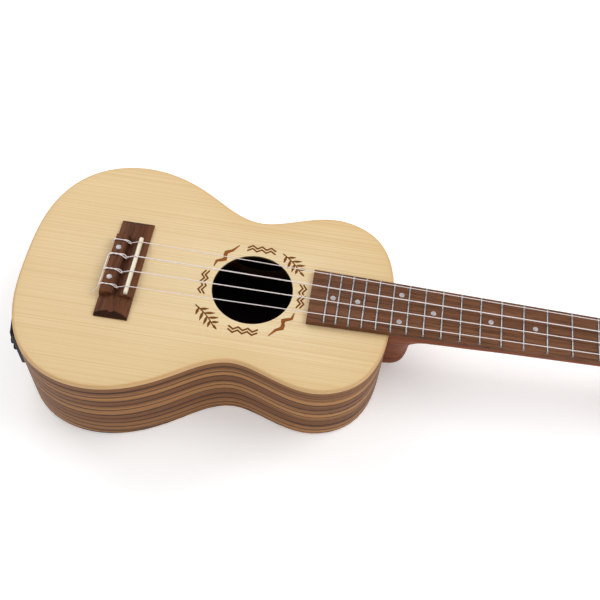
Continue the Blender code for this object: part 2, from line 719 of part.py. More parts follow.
def add_post(label, u, v, frame, material):
    """String post with the gear on its lower end, on the post's own axis."""
    lead_angle = math.atan2(gear_pitch(), 2.0 * math.pi * WORM_PITCH_RADIUS)
    skew = GEAR_HALF_THICKNESS * math.tan(lead_angle) / GEAR_PITCH_RADIUS
    middle = -WORM_AXIS_DROP
    gear = loft([
        gear_ring(middle - GEAR_HALF_THICKNESS, skew),
        gear_ring(middle + GEAR_HALF_THICKNESS, -skew),
    ])
    post = add_object(f"tuner_post_{label}", gear, material, frame, (u, v, 0.0))
    waist = POST_RADIUS * 0.82
    stem = turned([
        (POST_RADIUS, middle + GEAR_HALF_THICKNESS - OVERLAP), (POST_RADIUS, POST_NECK_HEIGHT - 0.0022),
        (waist, POST_NECK_HEIGHT - 0.0012), (waist, POST_NECK_HEIGHT + 0.0012),
        (POST_RADIUS, POST_NECK_HEIGHT + 0.0022), (POST_RADIUS, POST_HEIGHT - 0.0006),
        (POST_RADIUS * 0.75, POST_HEIGHT),
    ], 20)
    join(post, f"post_stem_{label}", stem, frame, Matrix.Translation((u, v, 0.0)))


def worm_rings(half_length, steps_per_turn):
    """Rings along the worm whose ridge winds once round for every gear pitch."""
    count = WORM_TURNS * steps_per_turn
    rings = []
    for i in range(count + 1):
        y = half_length * (2.0 * i / count - 1.0)
        fade = min(1.0, (half_length - abs(y)) / 0.0005)
        ring = []
        for j in range(WORM_SIDES):
            angle = 2.0 * math.pi * j / WORM_SIDES
            phase = (y / gear_pitch() - j / WORM_SIDES) % 1.0
            away = min(phase, 1.0 - phase)
            ridge = max(0.0, min(1.0, (0.20 - away) / 0.10))
            radius = WORM_PITCH_RADIUS - WORM_DEPTH + 2.0 * WORM_DEPTH * ridge * fade
            ring.append((radius * math.cos(angle), y, radius * math.sin(angle)))
        rings.append(ring)
    return rings


def shaft_ring(radius, y, flat=1.0):
    """Ring round the y axis, flattened in z for the button."""
    angles = [2.0 * math.pi * j / WORM_SIDES for j in range(WORM_SIDES)]
    return [(radius * math.cos(a), y, flat * radius * math.sin(a)) for a in angles]


def add_worm(label, u, v, frame, material):
    """Worm, shaft and button in one piece, on the shaft's own axis, button outwards."""
    half = gear_pitch() * WORM_TURNS / 2
    inner = -TUNER_PLATE_SIZE[1] / 2 - 0.0006
    edge = HEADSTOCK_EDGE_V - POST_V + BUTTON_CLEARANCE
    rings = [shaft_ring(SHAFT_RADIUS * 0.8, inner), shaft_ring(SHAFT_RADIUS, inner + 0.0003)]
    rings.append(shaft_ring(SHAFT_RADIUS, -half - 0.0002))
    rings += worm_rings(half, 8)
    rings.append(shaft_ring(SHAFT_RADIUS, half + 0.0002))
    rings.append(shaft_ring(SHAFT_RADIUS, edge - 0.0024))
    rings.append(shaft_ring(0.0026, edge - 0.0020))
    rings.append(shaft_ring(0.0022, edge))
    for share, size, flat in BUTTON_STATIONS:
        rings.append(shaft_ring(BUTTON_RADIUS * size, edge + BUTTON_LENGTH * share, flat))
    if v < 0:
        rings = [[(x, -y, -z) for x, y, z in ring] for ring in rings]
    place = (u + worm_offset(), v, -WORM_AXIS_DROP)
    add_object(f"tuner_worm_{label}", loft(rings), material, frame, place)


def add_tuners(frame, material):
    for label, (u, v) in post_places().items():
        add_tuner_plate(label, u, v, frame, material)
        add_post(label, u, v, frame, material)
        add_worm(label, u, v, frame, material)


def headstock_to_instrument(point):
    """A headstock point in the instrument's frame."""
    turned_point = Matrix.Rotation(HEADSTOCK_ANGLE, 3, "Y") @ Vector(point)
    return turned_point + Vector((NECK_END_X + GAP, 0.0, 0.0))


def add_strings(parent, material):
    """Each string runs from its tie hole over the saddle and nut to the inner side of its post."""
    for i, name in enumerate(STRING_NAMES):
        radius = STRING_RADII[i]
        y_saddle = string_y(i, SADDLE_SPACING)
        y_nut = string_y(i, NUT_SPACING)
        u, v = post_places()[name]
        side = math.copysign(1.0, v)
        inner = v - side * (POST_RADIUS + radius + GAP)
        post = headstock_to_instrument((u, inner, POST_NECK_HEIGHT))
        floor = NUT_TOP - NUT_SLOT_DEPTH + radius + GAP
        over = SADDLE_TOP + radius + GAP
        nut = SCALE_LENGTH + GAP
        points = [
            (BRIDGE_REAR_X - 0.0010, y_saddle, TIE_HOLE_HEIGHT),
            (TIE_BLOCK_FRONT_X + 0.0006, y_saddle, TIE_HOLE_HEIGHT),
            (TIE_BLOCK_FRONT_X + 0.0018, y_saddle, TIE_HOLE_HEIGHT + 0.0006),
            (-SADDLE_THICKNESS * 0.6, y_saddle, over - 0.0004), (-0.0003, y_saddle, over),
            (0.0006, y_saddle, over), (nut - 0.0002, y_nut, floor),
            (nut + NUT_LENGTH * 0.45, y_nut, floor), (nut + NUT_LENGTH + 0.0004, y_nut, floor - 0.0010),
            tuple(post),
        ]
        curve = bpy.data.curves.new(f"string_{name}", "CURVE")
        curve.dimensions = "3D"
        curve.bevel_depth = radius
        curve.bevel_resolution = 2
        curve.use_fill_caps = True
        spline = curve.splines.new("POLY")
        spline.points.add(len(points) - 1)
        for knot, point in zip(spline.points, points):
            knot.co = (*point, 1.0)
        curve.materials.append(material)
        thing = bpy.data.objects.new(f"string_{name}", curve)
        bpy.context.collection.objects.link(thing)
        thing.parent = parent


def wall_frame(y):
    """Point on the treble wall's outer face at y, its unit tangent and outward normal."""
    curve = half_outline()
    low_part = [(x, py) for x, py in curve if x < 0.0]
    xs = [x for x, py in low_part if py <= 0.095]
    ys = [py for x, py in low_part if py <= 0.095]
    x = float(np.interp(-y, ys, xs))
    ahead = float(np.interp(-y + 0.001, ys, xs))
    behind = float(np.interp(-y - 0.001, ys, xs))
    tangent = Vector((ahead - behind, -0.002, 0.0)).normalized()
    outward = Vector((tangent.y, -tangent.x, 0.0))
    return Vector((x, y, 0.0)), tangent, outward


def panel_matrix():
    """Local x runs along the wall away from the tail, y up the wall and z outwards."""
    centre, tangent, outward = wall_frame(PANEL_CENTRE_Y)
    up = outward.cross(tangent)
    matrix = Matrix((tangent, up, outward)).transposed().to_4x4()
    matrix.translation = centre + Vector((0.0, 0.0, PANEL_CENTRE_Z))
    return matrix


def panel_sag(s):
    """How far the curved wall falls away from the panel's middle plane at distance s."""
    centre, tangent, outward = wall_frame(PANEL_CENTRE_Y)
    wall, _, _ = wall_frame(PANEL_CENTRE_Y - s * abs(tangent.y))
    return (wall - centre).dot(outward)


def rounded_rectangle(half_x, half_y, corner, steps=4):
    points = []
    for cx, cy, start in ((1, 1, 0.0), (-1, 1, 0.5), (-1, -1, 1.0), (1, -1, 1.5)):
        for i in range(steps + 1):
            angle = math.pi * (start + 0.5 * i / steps)
            points.append((
                cx * (half_x - corner) + corner * math.cos(angle),
                cy * (half_y - corner) + corner * math.sin(angle),
            ))
    return points


def add_panel(frame, materials):
    """Curved panel that follows the wall, with round openings for two shafts and the jack."""
    rings = []
    for height, inset in (
        (GAP, 0.0), (PANEL_THICKNESS - 0.0008, 0.0), (PANEL_THICKNESS - 0.0002, 0.0004),
        (PANEL_THICKNESS, 0.0010),
    ):
        outline = rounded_rectangle(PANEL_HALF_WIDTH - inset, PANEL_HALF_HEIGHT - inset, PANEL_CORNER)
        rings.append([(x, y, height) for x, y in outline])
    builder = loft(rings)
    for i in range(-5, 6):
        geometry = builder.verts[:] + builder.edges[:] + builder.faces[:]
        place = (i * PANEL_HALF_WIDTH / 6, 0.0, 0.0)
        bmesh.ops.bisect_plane(builder, geom=geometry, plane_co=place, plane_no=(1.0, 0.0, 0.0))
    for vert in builder.verts:
        vert.co.z += panel_sag(vert.co.x)
    panel = add_object("preamp_panel", builder, materials["black_plastic"], frame)
    for name, (x, y) in KNOB_PLACES.items():
        hole = loft([circle(KNOB_SHAFT_HOLE_RADIUS, 12, z) for z in (-0.01, 0.01)])
        cut(panel, f"{name}_hole_cutter", hole, frame, Matrix.Translation((x, y, 0.0)))
    jack_hole = loft([circle(JACK_RADIUS - 0.0008 + GAP, 20, z) for z in (-0.01, 0.01)])
    cut(panel, "jack_hole_cutter", jack_hole, frame, Matrix.Translation((*JACK_PLACE, 0.0)))


def add_preamp(frame, materials):
    outline = rounded_rectangle(PREAMP_HALF_WIDTH, PREAMP_HALF_HEIGHT, 0.002, 2)
    rings = [[(x, y, z) for x, y in outline] for z in (PREAMP_FRONT_N - PREAMP_DEPTH, PREAMP_FRONT_N)]
    case = add_object("preamp_box", loft(rings), materials["black_plastic"], frame)
    bore = loft([circle(JACK_RADIUS - 0.0008 + GAP, 20, z) for z in (-0.05, 0.01)])
    cut(case, "jack_bore_cutter", bore, frame, Matrix.Translation((*JACK_PLACE, 0.0)))
    for name, (x, y) in KNOB_PLACES.items():
        seat = PANEL_THICKNESS + panel_sag(x) + 0.0007
        edge = KNOB_RADIUS
        profile = [
            (KNOB_SHAFT_RADIUS, PREAMP_FRONT_N + GAP), (KNOB_SHAFT_RADIUS, seat), (edge * 0.96, seat),
            (edge, seat + 0.0004), (edge * 0.94, seat + KNOB_HEIGHT - 0.0006),
            (edge * 0.84, seat + KNOB_HEIGHT),
        ]
        builder = turned([(radius, height - seat) for radius, height in profile], 24)
        add_object(name, builder, materials["knob_rubber"], frame, (x, y, seat))
    add_jack(frame, materials["nickel"])


def add_jack(frame, material):
    """Jack with a nut outside the panel and an open socket through its whole length."""
    x, y = JACK_PLACE
    seat = PANEL_THICKNESS + 0.0007
    barrel = JACK_RADIUS - 0.0008
    end = seat + JACK_STAND_OUT
    profile = [
        (barrel, end - JACK_LENGTH), (barrel, seat), (JACK_RADIUS + 0.0012, seat),
        (JACK_RADIUS + 0.0012, seat + 0.0018), (barrel, seat + 0.0022), (barrel, end - 0.0004),
        (barrel - 0.0004, end),
    ]
    jack = add_object("output_jack", turned(profile, 24), material, frame, (x, y, 0.0))
    socket = loft([circle(JACK_SOCKET_RADIUS, 20, z) for z in (-0.05, 0.05)])
    cut(jack, "jack_socket_cutter", socket, frame, Matrix.Translation((x, y, 0.0)))


def cut_panel_window(rib, frame):
    """Opening in the treble side that the preamp box passes through."""
    clear = 2 * GAP
    outline = rounded_rectangle(PREAMP_HALF_WIDTH + clear, PREAMP_HALF_HEIGHT + clear, 0.002, 2)
    rings = [[(x, y, z) for x, y in outline] for z in (-0.012, 0.012)]
    cut(rib, "panel_window_cutter", loft(rings), frame, Matrix.Identity(4))


def main():
    clear_scene()
    materials = make_materials()
    tilt = math.atan(DEPTH_TAPER)
    instrument = add_frame("instrument_frame")
    instrument.rotation_euler = (0.0, tilt, 0.0)
    rest_point = Matrix.Rotation(tilt, 3, "Y") @ Vector((REST_X, 0.0, back_z(REST_X)))
    instrument.location = -rest_point
    headstock_frame = add_frame("headstock_frame", instrument)
    headstock_frame.location = (NECK_END_X + GAP, 0.0, 0.0)
    headstock_frame.rotation_euler = (0.0, HEADSTOCK_ANGLE, 0.0)
    panel_frame = add_frame("panel_frame", instrument)
    panel_frame.matrix_local = panel_matrix()

    add_soundboard(instrument, materials["spruce"])
    add_back(instrument, materials["zebrano"])
    treble_rib = add_ribs(instrument, materials["zebrano"])
    add_linings(instrument, materials["cedar"])
    add_blocks(instrument, materials["cedar"])
    add_braces(instrument, materials["spruce"])
    add_bridge(instrument, materials["rosewood"])
    add_saddle(instrument, materials)
    add_fretboard(instrument, materials["rosewood"])
    add_frets(instrument, materials["nickel"])
    add_nut(instrument, materials["bone"])
    add_neck(instrument, materials["mahogany"])
    add_headstock(headstock_frame, materials["mahogany"])
    add_tuners(headstock_frame, materials["nickel"])
    add_strings(instrument, materials["nylon"])
    add_panel(panel_frame, materials)
    add_preamp(panel_frame, materials)
    cut_panel_window(treble_rib, panel_frame)


main()
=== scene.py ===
"""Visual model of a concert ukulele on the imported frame: looks for the pieces that stay as they
are, finer pieces in place of the others, the burnt ornament, the camera and the lights.

New pieces are drawn in the instrument's own frame, as the model's source does: x runs along the
strings from the saddle (x = 0) towards the head, y points to the bass side, and z = 0 is the
soundboard's outer face. TOP turns those points into the row frame. Lengths are in metres.
"""
import json
import math

import bmesh
import bpy
import numpy as np
from mathutils import Matrix, Vector


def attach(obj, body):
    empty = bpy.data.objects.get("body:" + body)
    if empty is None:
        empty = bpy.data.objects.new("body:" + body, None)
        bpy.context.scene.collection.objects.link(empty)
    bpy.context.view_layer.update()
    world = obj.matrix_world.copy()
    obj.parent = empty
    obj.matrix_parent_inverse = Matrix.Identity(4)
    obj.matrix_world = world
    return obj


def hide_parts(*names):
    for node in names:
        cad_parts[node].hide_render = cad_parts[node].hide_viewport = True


TURN = 2.0 * math.pi

# Body, with the same sizes as in the model's source. GAP stands in for glue between pieces.
GAP = 0.0003
SCALE_LENGTH = 0.380
DEPTH_AT_SADDLE = 0.0758
DEPTH_TAPER = 0.042
REST_X = 0.054
NECK_JOINT_X = 0.190
TAIL_X = -0.082
# Bass half of the outline from the tail to the neck joint: (x, y).
HALF_OUTLINE = [
    (TAIL_X, 0.0), (-0.0806, 0.030), (-0.074, 0.0568), (-0.058, 0.0808), (-0.035, 0.0943),
    (-0.009, 0.0978), (0.018, 0.0923), (0.048, 0.0766), (0.068, 0.065), (0.084, 0.0613),
    (0.100, 0.0643), (0.122, 0.0718), (0.141, 0.0750), (0.158, 0.0718), (0.174, 0.0618),
    (0.1845, 0.045), (NECK_JOINT_X, 0.021),
]
OUTLINE_STEPS = 150
TOP_THICKNESS = 0.0028
TOP_EDGE_RADIUS = 0.0020
SOUNDHOLE_X = 0.0875
SOUNDHOLE_RADIUS = 0.0295
SOUNDHOLE_EDGE = 0.0005

# Bridge, saddle and the two dots in the tie block.
BRIDGE_REAR_X = -0.0193
BRIDGE_FRONT_X = 0.0049
BRIDGE_HALF_LENGTH = 0.0425
BRIDGE_BLOCK_HALF_LENGTH = 0.026
WING_EDGE_HEIGHT = 0.0018
WING_CROWN_HEIGHT = 0.0042
WING_END_HEIGHT = 0.0009
WING_BEVEL_SLOPE = 0.82
WING_BEVEL_LENGTH = 0.0050
TIE_BLOCK_HEIGHT = 0.0078
TIE_BLOCK_CROWN = 0.0002
TIE_BLOCK_CROWN_X = -0.0145
TIE_BLOCK_FRONT_X = -0.0092
CHANNEL_FLOOR_HEIGHT = 0.0034
CHANNEL_FRONT_X = -0.0066
LEDGE_HEIGHT = 0.0062
SADDLE_HALF_LENGTH = 0.0248
SADDLE_THICKNESS = 0.0028
SADDLE_TOP = 0.0092
SADDLE_SLOT_FLOOR = 0.0024
TIE_HOLE_RADIUS = 0.0009
TIE_HOLE_HEIGHT = 0.0052
BRIDGE_DOT_RADIUS = 0.0020
BRIDGE_DOT_Y = 0.0132

# Fretboard, frets, position dots, nut and neck. BOARD_TAPER is half width lost per length.
BOARD_START_X = 0.130
BOARD_THICKNESS = 0.0043
BOARD_TOP = GAP + BOARD_THICKNESS
BOARD_HALF_WIDTH = 0.0225
BOARD_TAPER = 0.0212
FRET_COUNT = 17
FRET_HALF_WIDTH = 0.0008
FRET_RISE = 0.0012
MARKED_FRETS = (5, 7, 10, 12, 15, 17)
MARKER_RADIUS = 0.0019
PAIRED_MARKER_Y = 0.0115
NUT_LENGTH = 0.0042
NUT_TOP = 0.0078
NUT_SLOT_DEPTH = 0.0016
NECK_END_X = SCALE_LENGTH + NUT_LENGTH + GAP
HEADSTOCK_ANGLE = math.radians(12.0)
NECK_TAPER_START_X = 0.252
NECK_DEPTH = 0.0138
NECK_DEPTH_LOSS = 0.0016

# Radius of each string, from the bass side, and its knot's loose end from the tie block's rear
# edge: (x, y, z). Two of the ends run on to the next string's knot.
STRINGS = {"g": 0.00031, "c": 0.00045, "e": 0.00038, "a": 0.00031}
SADDLE_SPACING = 0.0132
NUT_SPACING = 0.0090
STRING_BEND = 0.0012
TAIL_TO_NEXT = [(-0.0010, 0.0030 - SADDLE_SPACING, -0.0013), (-0.0014, -0.0002 - SADDLE_SPACING, -0.0018)]
STRING_TAILS = {
    "g": [(-0.0012, -0.0022, -0.0024)],
    "c": TAIL_TO_NEXT,
    "e": TAIL_TO_NEXT,
    "a": [(-0.0022, -0.0036, -0.0026), (-0.0044, -0.0052, -0.0040)],
}

# Tuning machines, in the headstock's frame. Post places are (along, across).
POSTS = {"g": (0.040, 0.0165), "c": (0.098, 0.0165), "e": (0.098, -0.0165), "a": (0.040, -0.0165)}
POST_RADIUS = 0.0030
POST_NECK_HEIGHT = 0.0058
POST_WAIST_RADIUS = 0.00246
# Section of the ring round each post: (radius, height).
POST_RING_PROFILE = [
    (0.0052, 0.00005), (0.0052, 0.0004), (0.0049, 0.0009), (0.0044, 0.0011), (0.0038, 0.0011),
    (0.0035, 0.0009), (0.0035, 0.00005),
]
GEAR_TEETH = 14
GEAR_PITCH_RADIUS = 0.0046
WORM_PITCH_RADIUS = 0.0021
WORM_DEPTH = 0.00048
WORM_TURNS = 3
WORM_AXIS_DROP = 0.0164
WORM_SIDES = 32
WORM_OFFSET = GEAR_PITCH_RADIUS + WORM_PITCH_RADIUS
GEAR_PITCH = TURN * GEAR_PITCH_RADIUS / GEAR_TEETH
SHAFT_RADIUS = 0.0012
TUNER_PLATE_WIDTH = 0.013
TUNER_PLATE_BACK = -0.0128
TUNER_SCREWS = {"near": -0.0060, "far": 0.0130}
BUTTON_RADIUS = 0.0078
BUTTON_LENGTH = 0.012
BUTTON_START = 0.0123
# Sections along the button: share of its length, share of its radius, flatness.
BUTTON_STATIONS = [
    (0.0, 0.35, 0.8), (0.08, 0.62, 0.46), (0.25, 0.88, 0.46), (0.5, 1.0, 0.46),
    (0.75, 0.94, 0.46), (0.92, 0.72, 0.46), (1.0, 0.45, 0.46),
]

# Panel on the tail end, its knobs and screws. Places are (along, up) from the panel's middle.
PANEL_CENTRE_Y = -0.0405
PANEL_CENTRE_Z = -0.0375
PANEL_HALF_WIDTH = 0.0190
PANEL_HALF_HEIGHT = 0.0230
PANEL_THICKNESS = 0.0030
PANEL_CORNER = 0.004
JACK_PLACE = (-0.0070, 0.0020)
JACK_OPENING_RADIUS = 0.0047
KNOB_RADIUS = 0.0034
KNOB_HEIGHT = 0.0030
KNOB_PLACES = {"volume": (0.0125, 0.0045), "tone": (0.0125, -0.0045)}
KNOB_WELL_GAP = 0.0006
KNOB_LIFT = 0.0007
KNOB_STEM_RADIUS = 0.0015
KNOB_STEM_LENGTH = 0.0058
KNOB_FLUTES = 20
FLUTE_DEPTH = 0.00022
PANEL_SCREW_INSET = 0.0034
SCREW_RADIUS = 0.0017
SCREW_RISE = 0.0008
SCREW_SLOT_HALVES = (0.0009, 0.00018)
SCREW_SLOT_FLOOR = 0.00045

# Burnt ornament. Strokes wider than WIDE_STROKE have a paler middle.
LINE_WIDTH = 0.0015
WIDE_STROKE = 0.0030
STROKE_LIFT = 0.00006

# How far a cutter reaches past what it cuts.
PAST = 0.01

# The instrument lies on its flat back, so its own frame is tilted in the row frame.
TILT = math.atan(DEPTH_TAPER)


def back_z(x):
    """Height of the flat outer back face at x."""
    return -DEPTH_AT_SADDLE + DEPTH_TAPER * x


REST_POINT = Matrix.Rotation(TILT, 3, "Y") @ Vector((REST_X, 0.0, back_z(REST_X)))
TOP = Matrix.Translation(-REST_POINT) @ Matrix.Rotation(TILT, 4, "Y")
HEAD = TOP @ Matrix.Translation((NECK_END_X + GAP, 0.0, 0.0)) @ Matrix.Rotation(HEADSTOCK_ANGLE, 4, "Y")


# ---------------------------------------------------------------- mesh helpers


def hermite(t, first, second, first_slope, second_slope):
    """Cubic from first to second with the given slopes at its ends, for t from 0 to 1."""
    return (
        (2 * t**3 - 3 * t**2 + 1) * first + (t**3 - 2 * t**2 + t) * first_slope
        + (-2 * t**3 + 3 * t**2) * second + (t**3 - t**2) * second_slope
    )


def smooth_curve(points, steps, start_slope, end_slope):
    """Cubic spline through points by chord length, with given end directions."""
    nodes = np.array(points, dtype=float)
    chords = np.linalg.norm(np.diff(nodes, axis=0), axis=1)
    knots = np.concatenate([[0.0], np.cumsum(chords)])
    size = len(nodes)
    system = np.zeros((size, size))
    target = np.zeros((size, 2))
    system[0, 0] = 1.0
    system[-1, -1] = 1.0
    target[0] = start_slope
    target[-1] = end_slope
    for i in range(1, size - 1):
        before = chords[i - 1]
        after = chords[i]
        system[i, i - 1] = after
        system[i, i] = 2.0 * (before + after)
        system[i, i + 1] = before
        rise_before = (nodes[i] - nodes[i - 1]) / before
        rise_after = (nodes[i + 1] - nodes[i]) / after
        target[i] = 3.0 * (after * rise_before + before * rise_after)
    slopes = np.linalg.solve(system, target)
    result = []
    for s in np.linspace(0.0, knots[-1], steps + 1):
        i = min(int(np.searchsorted(knots, s, side="right")) - 1, size - 2)
        span = chords[i]
        t = (s - knots[i]) / span
        result.append(hermite(t, nodes[i], nodes[i + 1], span * slopes[i], span * slopes[i + 1]))
    return np.array(result)


def half_outline(offset=0.0):
    """Bass half of the body outline from tail to neck joint, moved inwards by offset."""
    curve = smooth_curve(HALF_OUTLINE, OUTLINE_STEPS, (0.0, 1.0), (0.12, -0.993))
    curve = np.vstack([curve, [(NECK_JOINT_X + GAP, 0.0)]])
    tangents = np.gradient(curve, axis=0)
    tangents[0] = (0.0, 1.0)
    tangents[-1] = (0.0, -1.0)
    tangents /= np.linalg.norm(tangents, axis=1)[:, None]
    inward = np.column_stack([tangents[:, 1], -tangents[:, 0]])
    moved = curve + offset * inward
    moved[0, 1] = 0.0
    moved[-1, 1] = 0.0
    return moved


def full_outline(offset=0.0):
    """Closed body outline, moved inwards by offset."""
    bass = half_outline(offset)
    treble = [(x, -y) for x, y in bass[-2:0:-1]]
    return [tuple(point) for point in bass] + treble


def board_half_width(x):
    """Half the fretboard's width at x; it narrows towards the nut."""
    return BOARD_HALF_WIDTH - BOARD_TAPER * (x - BOARD_START_X)


def fret_x(number):
    """Place of a fret in equal temperament; 0 is the nut and 12 the middle of the string."""
    return SCALE_LENGTH / 2.0 ** (number / 12.0)


def string_y(index, spacing):
    """Place across the neck of a string, counted from the bass side."""
    return ((len(STRINGS) - 1) / 2 - index) * spacing


def join_loops(builder, loops):
    """Faces between closed loops of equal length."""
    count = len(loops[0])
    for lower, upper in zip(loops, loops[1:]):
        for i in range(count):
            j = (i + 1) % count
            builder.faces.new((lower[i], lower[j], upper[j], upper[i]))


def loft(rings, capped=True):
    """Solid through rings of equal length, with flat caps on both ends."""
    builder = bmesh.new()
    loops = [[builder.verts.new(point) for point in ring] for ring in rings]
    join_loops(builder, loops)
    if capped:
        builder.faces.new(loops[0])
        builder.faces.new(loops[-1])
    return builder


def circle(radius, steps, height):
    """Points round local z at a height."""
    angles = [TURN * i / steps for i in range(steps)]
    return [(radius * math.cos(a), radius * math.sin(a), height) for a in angles]


def turned(profile, steps=32):
    """Solid of revolution about local z from (radius, height) pairs."""
    return loft([circle(radius, steps, height) for radius, height in profile])


def box(half_x, half_y, low, high):
    """Upright box round local z from low to high."""
    corners = [(-half_x, -half_y), (half_x, -half_y), (half_x, half_y), (-half_x, half_y)]
    return loft([[(x, y, z) for x, y in corners] for z in (low, high)])


def new_object(name, builder, placed):
    """Object in the scene with the builder's faces, moved by placed."""
    bmesh.ops.recalc_face_normals(builder, faces=builder.faces)
    mesh = bpy.data.meshes.new(name)
    builder.to_mesh(mesh)
    builder.free()
    mesh.transform(placed)
    made = bpy.data.objects.new(name, mesh)
    bpy.context.scene.collection.objects.link(made)
    return made


def add_piece(
    name, builder, material, body="instrument", placed=TOP, replaces=(), sharp_degrees=40.0
):
    """Makes a smooth-shaded piece in the row frame that rides on a body."""
    piece = new_object(name, builder, placed)
    piece.data.shade_smooth()
    piece.data.set_sharp_from_angle(angle=math.radians(sharp_degrees))
    piece.data.materials.append(MATERIALS[material])
    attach(piece, body)
    if replaces:
        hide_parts(*replaces)
    return piece


def cut(piece, builder, placed):
    """Subtracts a solid from a piece, for good."""
    cutter = new_object("cutter", builder, placed)
    modifier = piece.modifiers.new("cut", "BOOLEAN")
    modifier.object = cutter
    modifier.operation = "DIFFERENCE"
    bpy.context.view_layer.update()
    evaluated = piece.evaluated_get(bpy.context.evaluated_depsgraph_get())
    result = bpy.data.meshes.new_from_object(evaluated)
    piece.modifiers.clear()
    piece.data = result
    bpy.data.objects.remove(cutter)


def finer_rows(rows, steps):
    """Rows of numbers with smooth rows put between them."""
    table = [np.array(row, dtype=float) for row in rows]
    result = [table[0]]
    for i in range(len(table) - 1):
        first, second = table[i], table[i + 1]
        before = table[i - 1] if i else 2 * first - second
        after = table[i + 2] if i + 2 < len(table) else 2 * second - first
        for k in range(1, steps + 1):
            result.append(hermite(k / steps, first, second, (second - before) / 2, (after - first) / 2))
    return result


def rounded_path(points, radius, steps=5):
    """Straight runs between points with the corners rounded, without overshooting."""
    corners = [Vector(point) for point in points]
    path = [corners[0]]
    for before, corner, after in zip(corners, corners[1:], corners[2:]):
        back = before - corner
        ahead = after - corner
        reach = min(radius, back.length * 0.48, ahead.length * 0.48)
        start = corner + back.normalized() * reach
        end = corner + ahead.normalized() * reach
        for i in range(steps + 1):
            t = i / steps
            path.append((1 - t) ** 2 * start + 2 * t * (1 - t) * corner + t**2 * end)
    path.append(corners[-1])
    return path


def tube(path, radius, sides=12):
    """Round tube along a path, turned as little as possible from ring to ring."""
    rings = []
    normal = Vector((0.0, 0.3, 1.0))
    for i, point in enumerate(path):
        tangent = (path[min(i + 1, len(path) - 1)] - path[max(i - 1, 0)]).normalized()
        normal = (normal - normal.dot(tangent) * tangent).normalized()
        across = tangent.cross(normal)
        ring = []
        for j in range(sides):
            angle = TURN * j / sides
            ring.append(point + radius * (math.cos(angle) * normal + math.sin(angle) * across))
        rings.append(ring)
    return loft(rings)


# ------------------------------------------------------------ material helpers


def srgb(red, green, blue):
    """Linear colour from display values of 0 to 255."""
    linear = []
    for value in (red, green, blue):
        share = value / 255.0
        linear.append(share / 12.92 if share <= 0.04045 else ((share + 0.055) / 1.055) ** 2.4)
    return (*linear, 1.0)


# Filled by Shading: each material under its own name.
MATERIALS = {}


class Shading:
    """One material's node tree, kept in MATERIALS, with short calls for the nodes that the looks share."""

    def __init__(self, name, roughness=0.5, metallic=0.0, specular=0.5):
        material = bpy.data.materials.new(name)
        material.use_nodes = True
        MATERIALS[name] = material
        self.tree = material.node_tree
        self.shader = self.tree.nodes["Principled BSDF"]
        self.position = None
        self.set("Roughness", roughness)
        self.set("Metallic", metallic)
        self.set("Specular IOR Level", specular)

    def feed(self, socket, value):
        """Gives a socket a plain value or another node's output."""
        if isinstance(value, bpy.types.NodeSocket):
            self.tree.links.new(value, socket)
        else:
            socket.default_value = value

    def set(self, name, value):
        """Gives one of the shader's own sockets a value."""
        self.feed(self.shader.inputs[name], value)

    def node(self, kind, values=(), **settings):
        """New node with its settings, and with its inputs fed by name or number."""
        made = self.tree.nodes.new(kind)
        for key, value in settings.items():
            setattr(made, key, value)
        for key, value in dict(values).items():
            self.feed(made.inputs[key], value)
        return made

    def place(self):
        """Coordinates in the instrument's frame."""
        if self.position is None:
            here = self.node("ShaderNodeTexCoord").outputs["Object"]
            origin = Matrix.Rotation(-TILT, 3, "Y") @ REST_POINT
            values = {"Vector": here, "Rotation": (0.0, -TILT, 0.0), "Location": origin}
            self.position = self.node("ShaderNodeMapping", values).outputs["Vector"]
        return self.position

    def noise(self, stretch, detail=2.0, roughness=0.5, shift=0.0):
        """Noise whose grains are 1 / stretch metres long on each axis."""
        values = {"Vector": self.place(), "Scale": stretch, "Location": (shift,) * 3}
        scaled = self.node("ShaderNodeMapping", values).outputs["Vector"]
        values = {"Vector": scaled, "Scale": 1.0, "Detail": detail, "Roughness": roughness}
        return self.node("ShaderNodeTexNoise", values).outputs["Fac"]

    def span(self, value, low, high, start=0.0, end=1.0):
        """value from low..high as start..end, clamped."""
        values = {"Value": value, "From Min": low, "From Max": high, "To Min": start, "To Max": end}
        return self.node("ShaderNodeMapRange", values).outputs["Result"]

    def maths(self, operation, first, second=0.0):
        """Result of one step of arithmetic."""
        return self.node("ShaderNodeMath", {0: first, 1: second}, operation=operation).outputs[0]

    def mix(self, share, first, second):
        """Colour between first and second."""
        return self.node("ShaderNodeMix", {0: share, 6: first, 7: second}, data_type="RGBA").outputs[2]

    def tint(self, colour, other, value, low, high, share):
        """colour with up to share of other, as value rises from low to high."""
        return self.mix(self.span(value, low, high, 0.0, share), colour, other)

    def attribute(self, name):
        """Number that the mesh carries at each vertex."""
        return self.node("ShaderNodeAttribute", attribute_name=name).outputs["Fac"]

    def bump(self, height, distance, strength):
        """Fine relief of a height field, distance metres deep."""
        bump = self.node("ShaderNodeBump", {"Height": height, "Distance": distance, "Strength": strength})
        self.set("Normal", bump.outputs["Normal"])


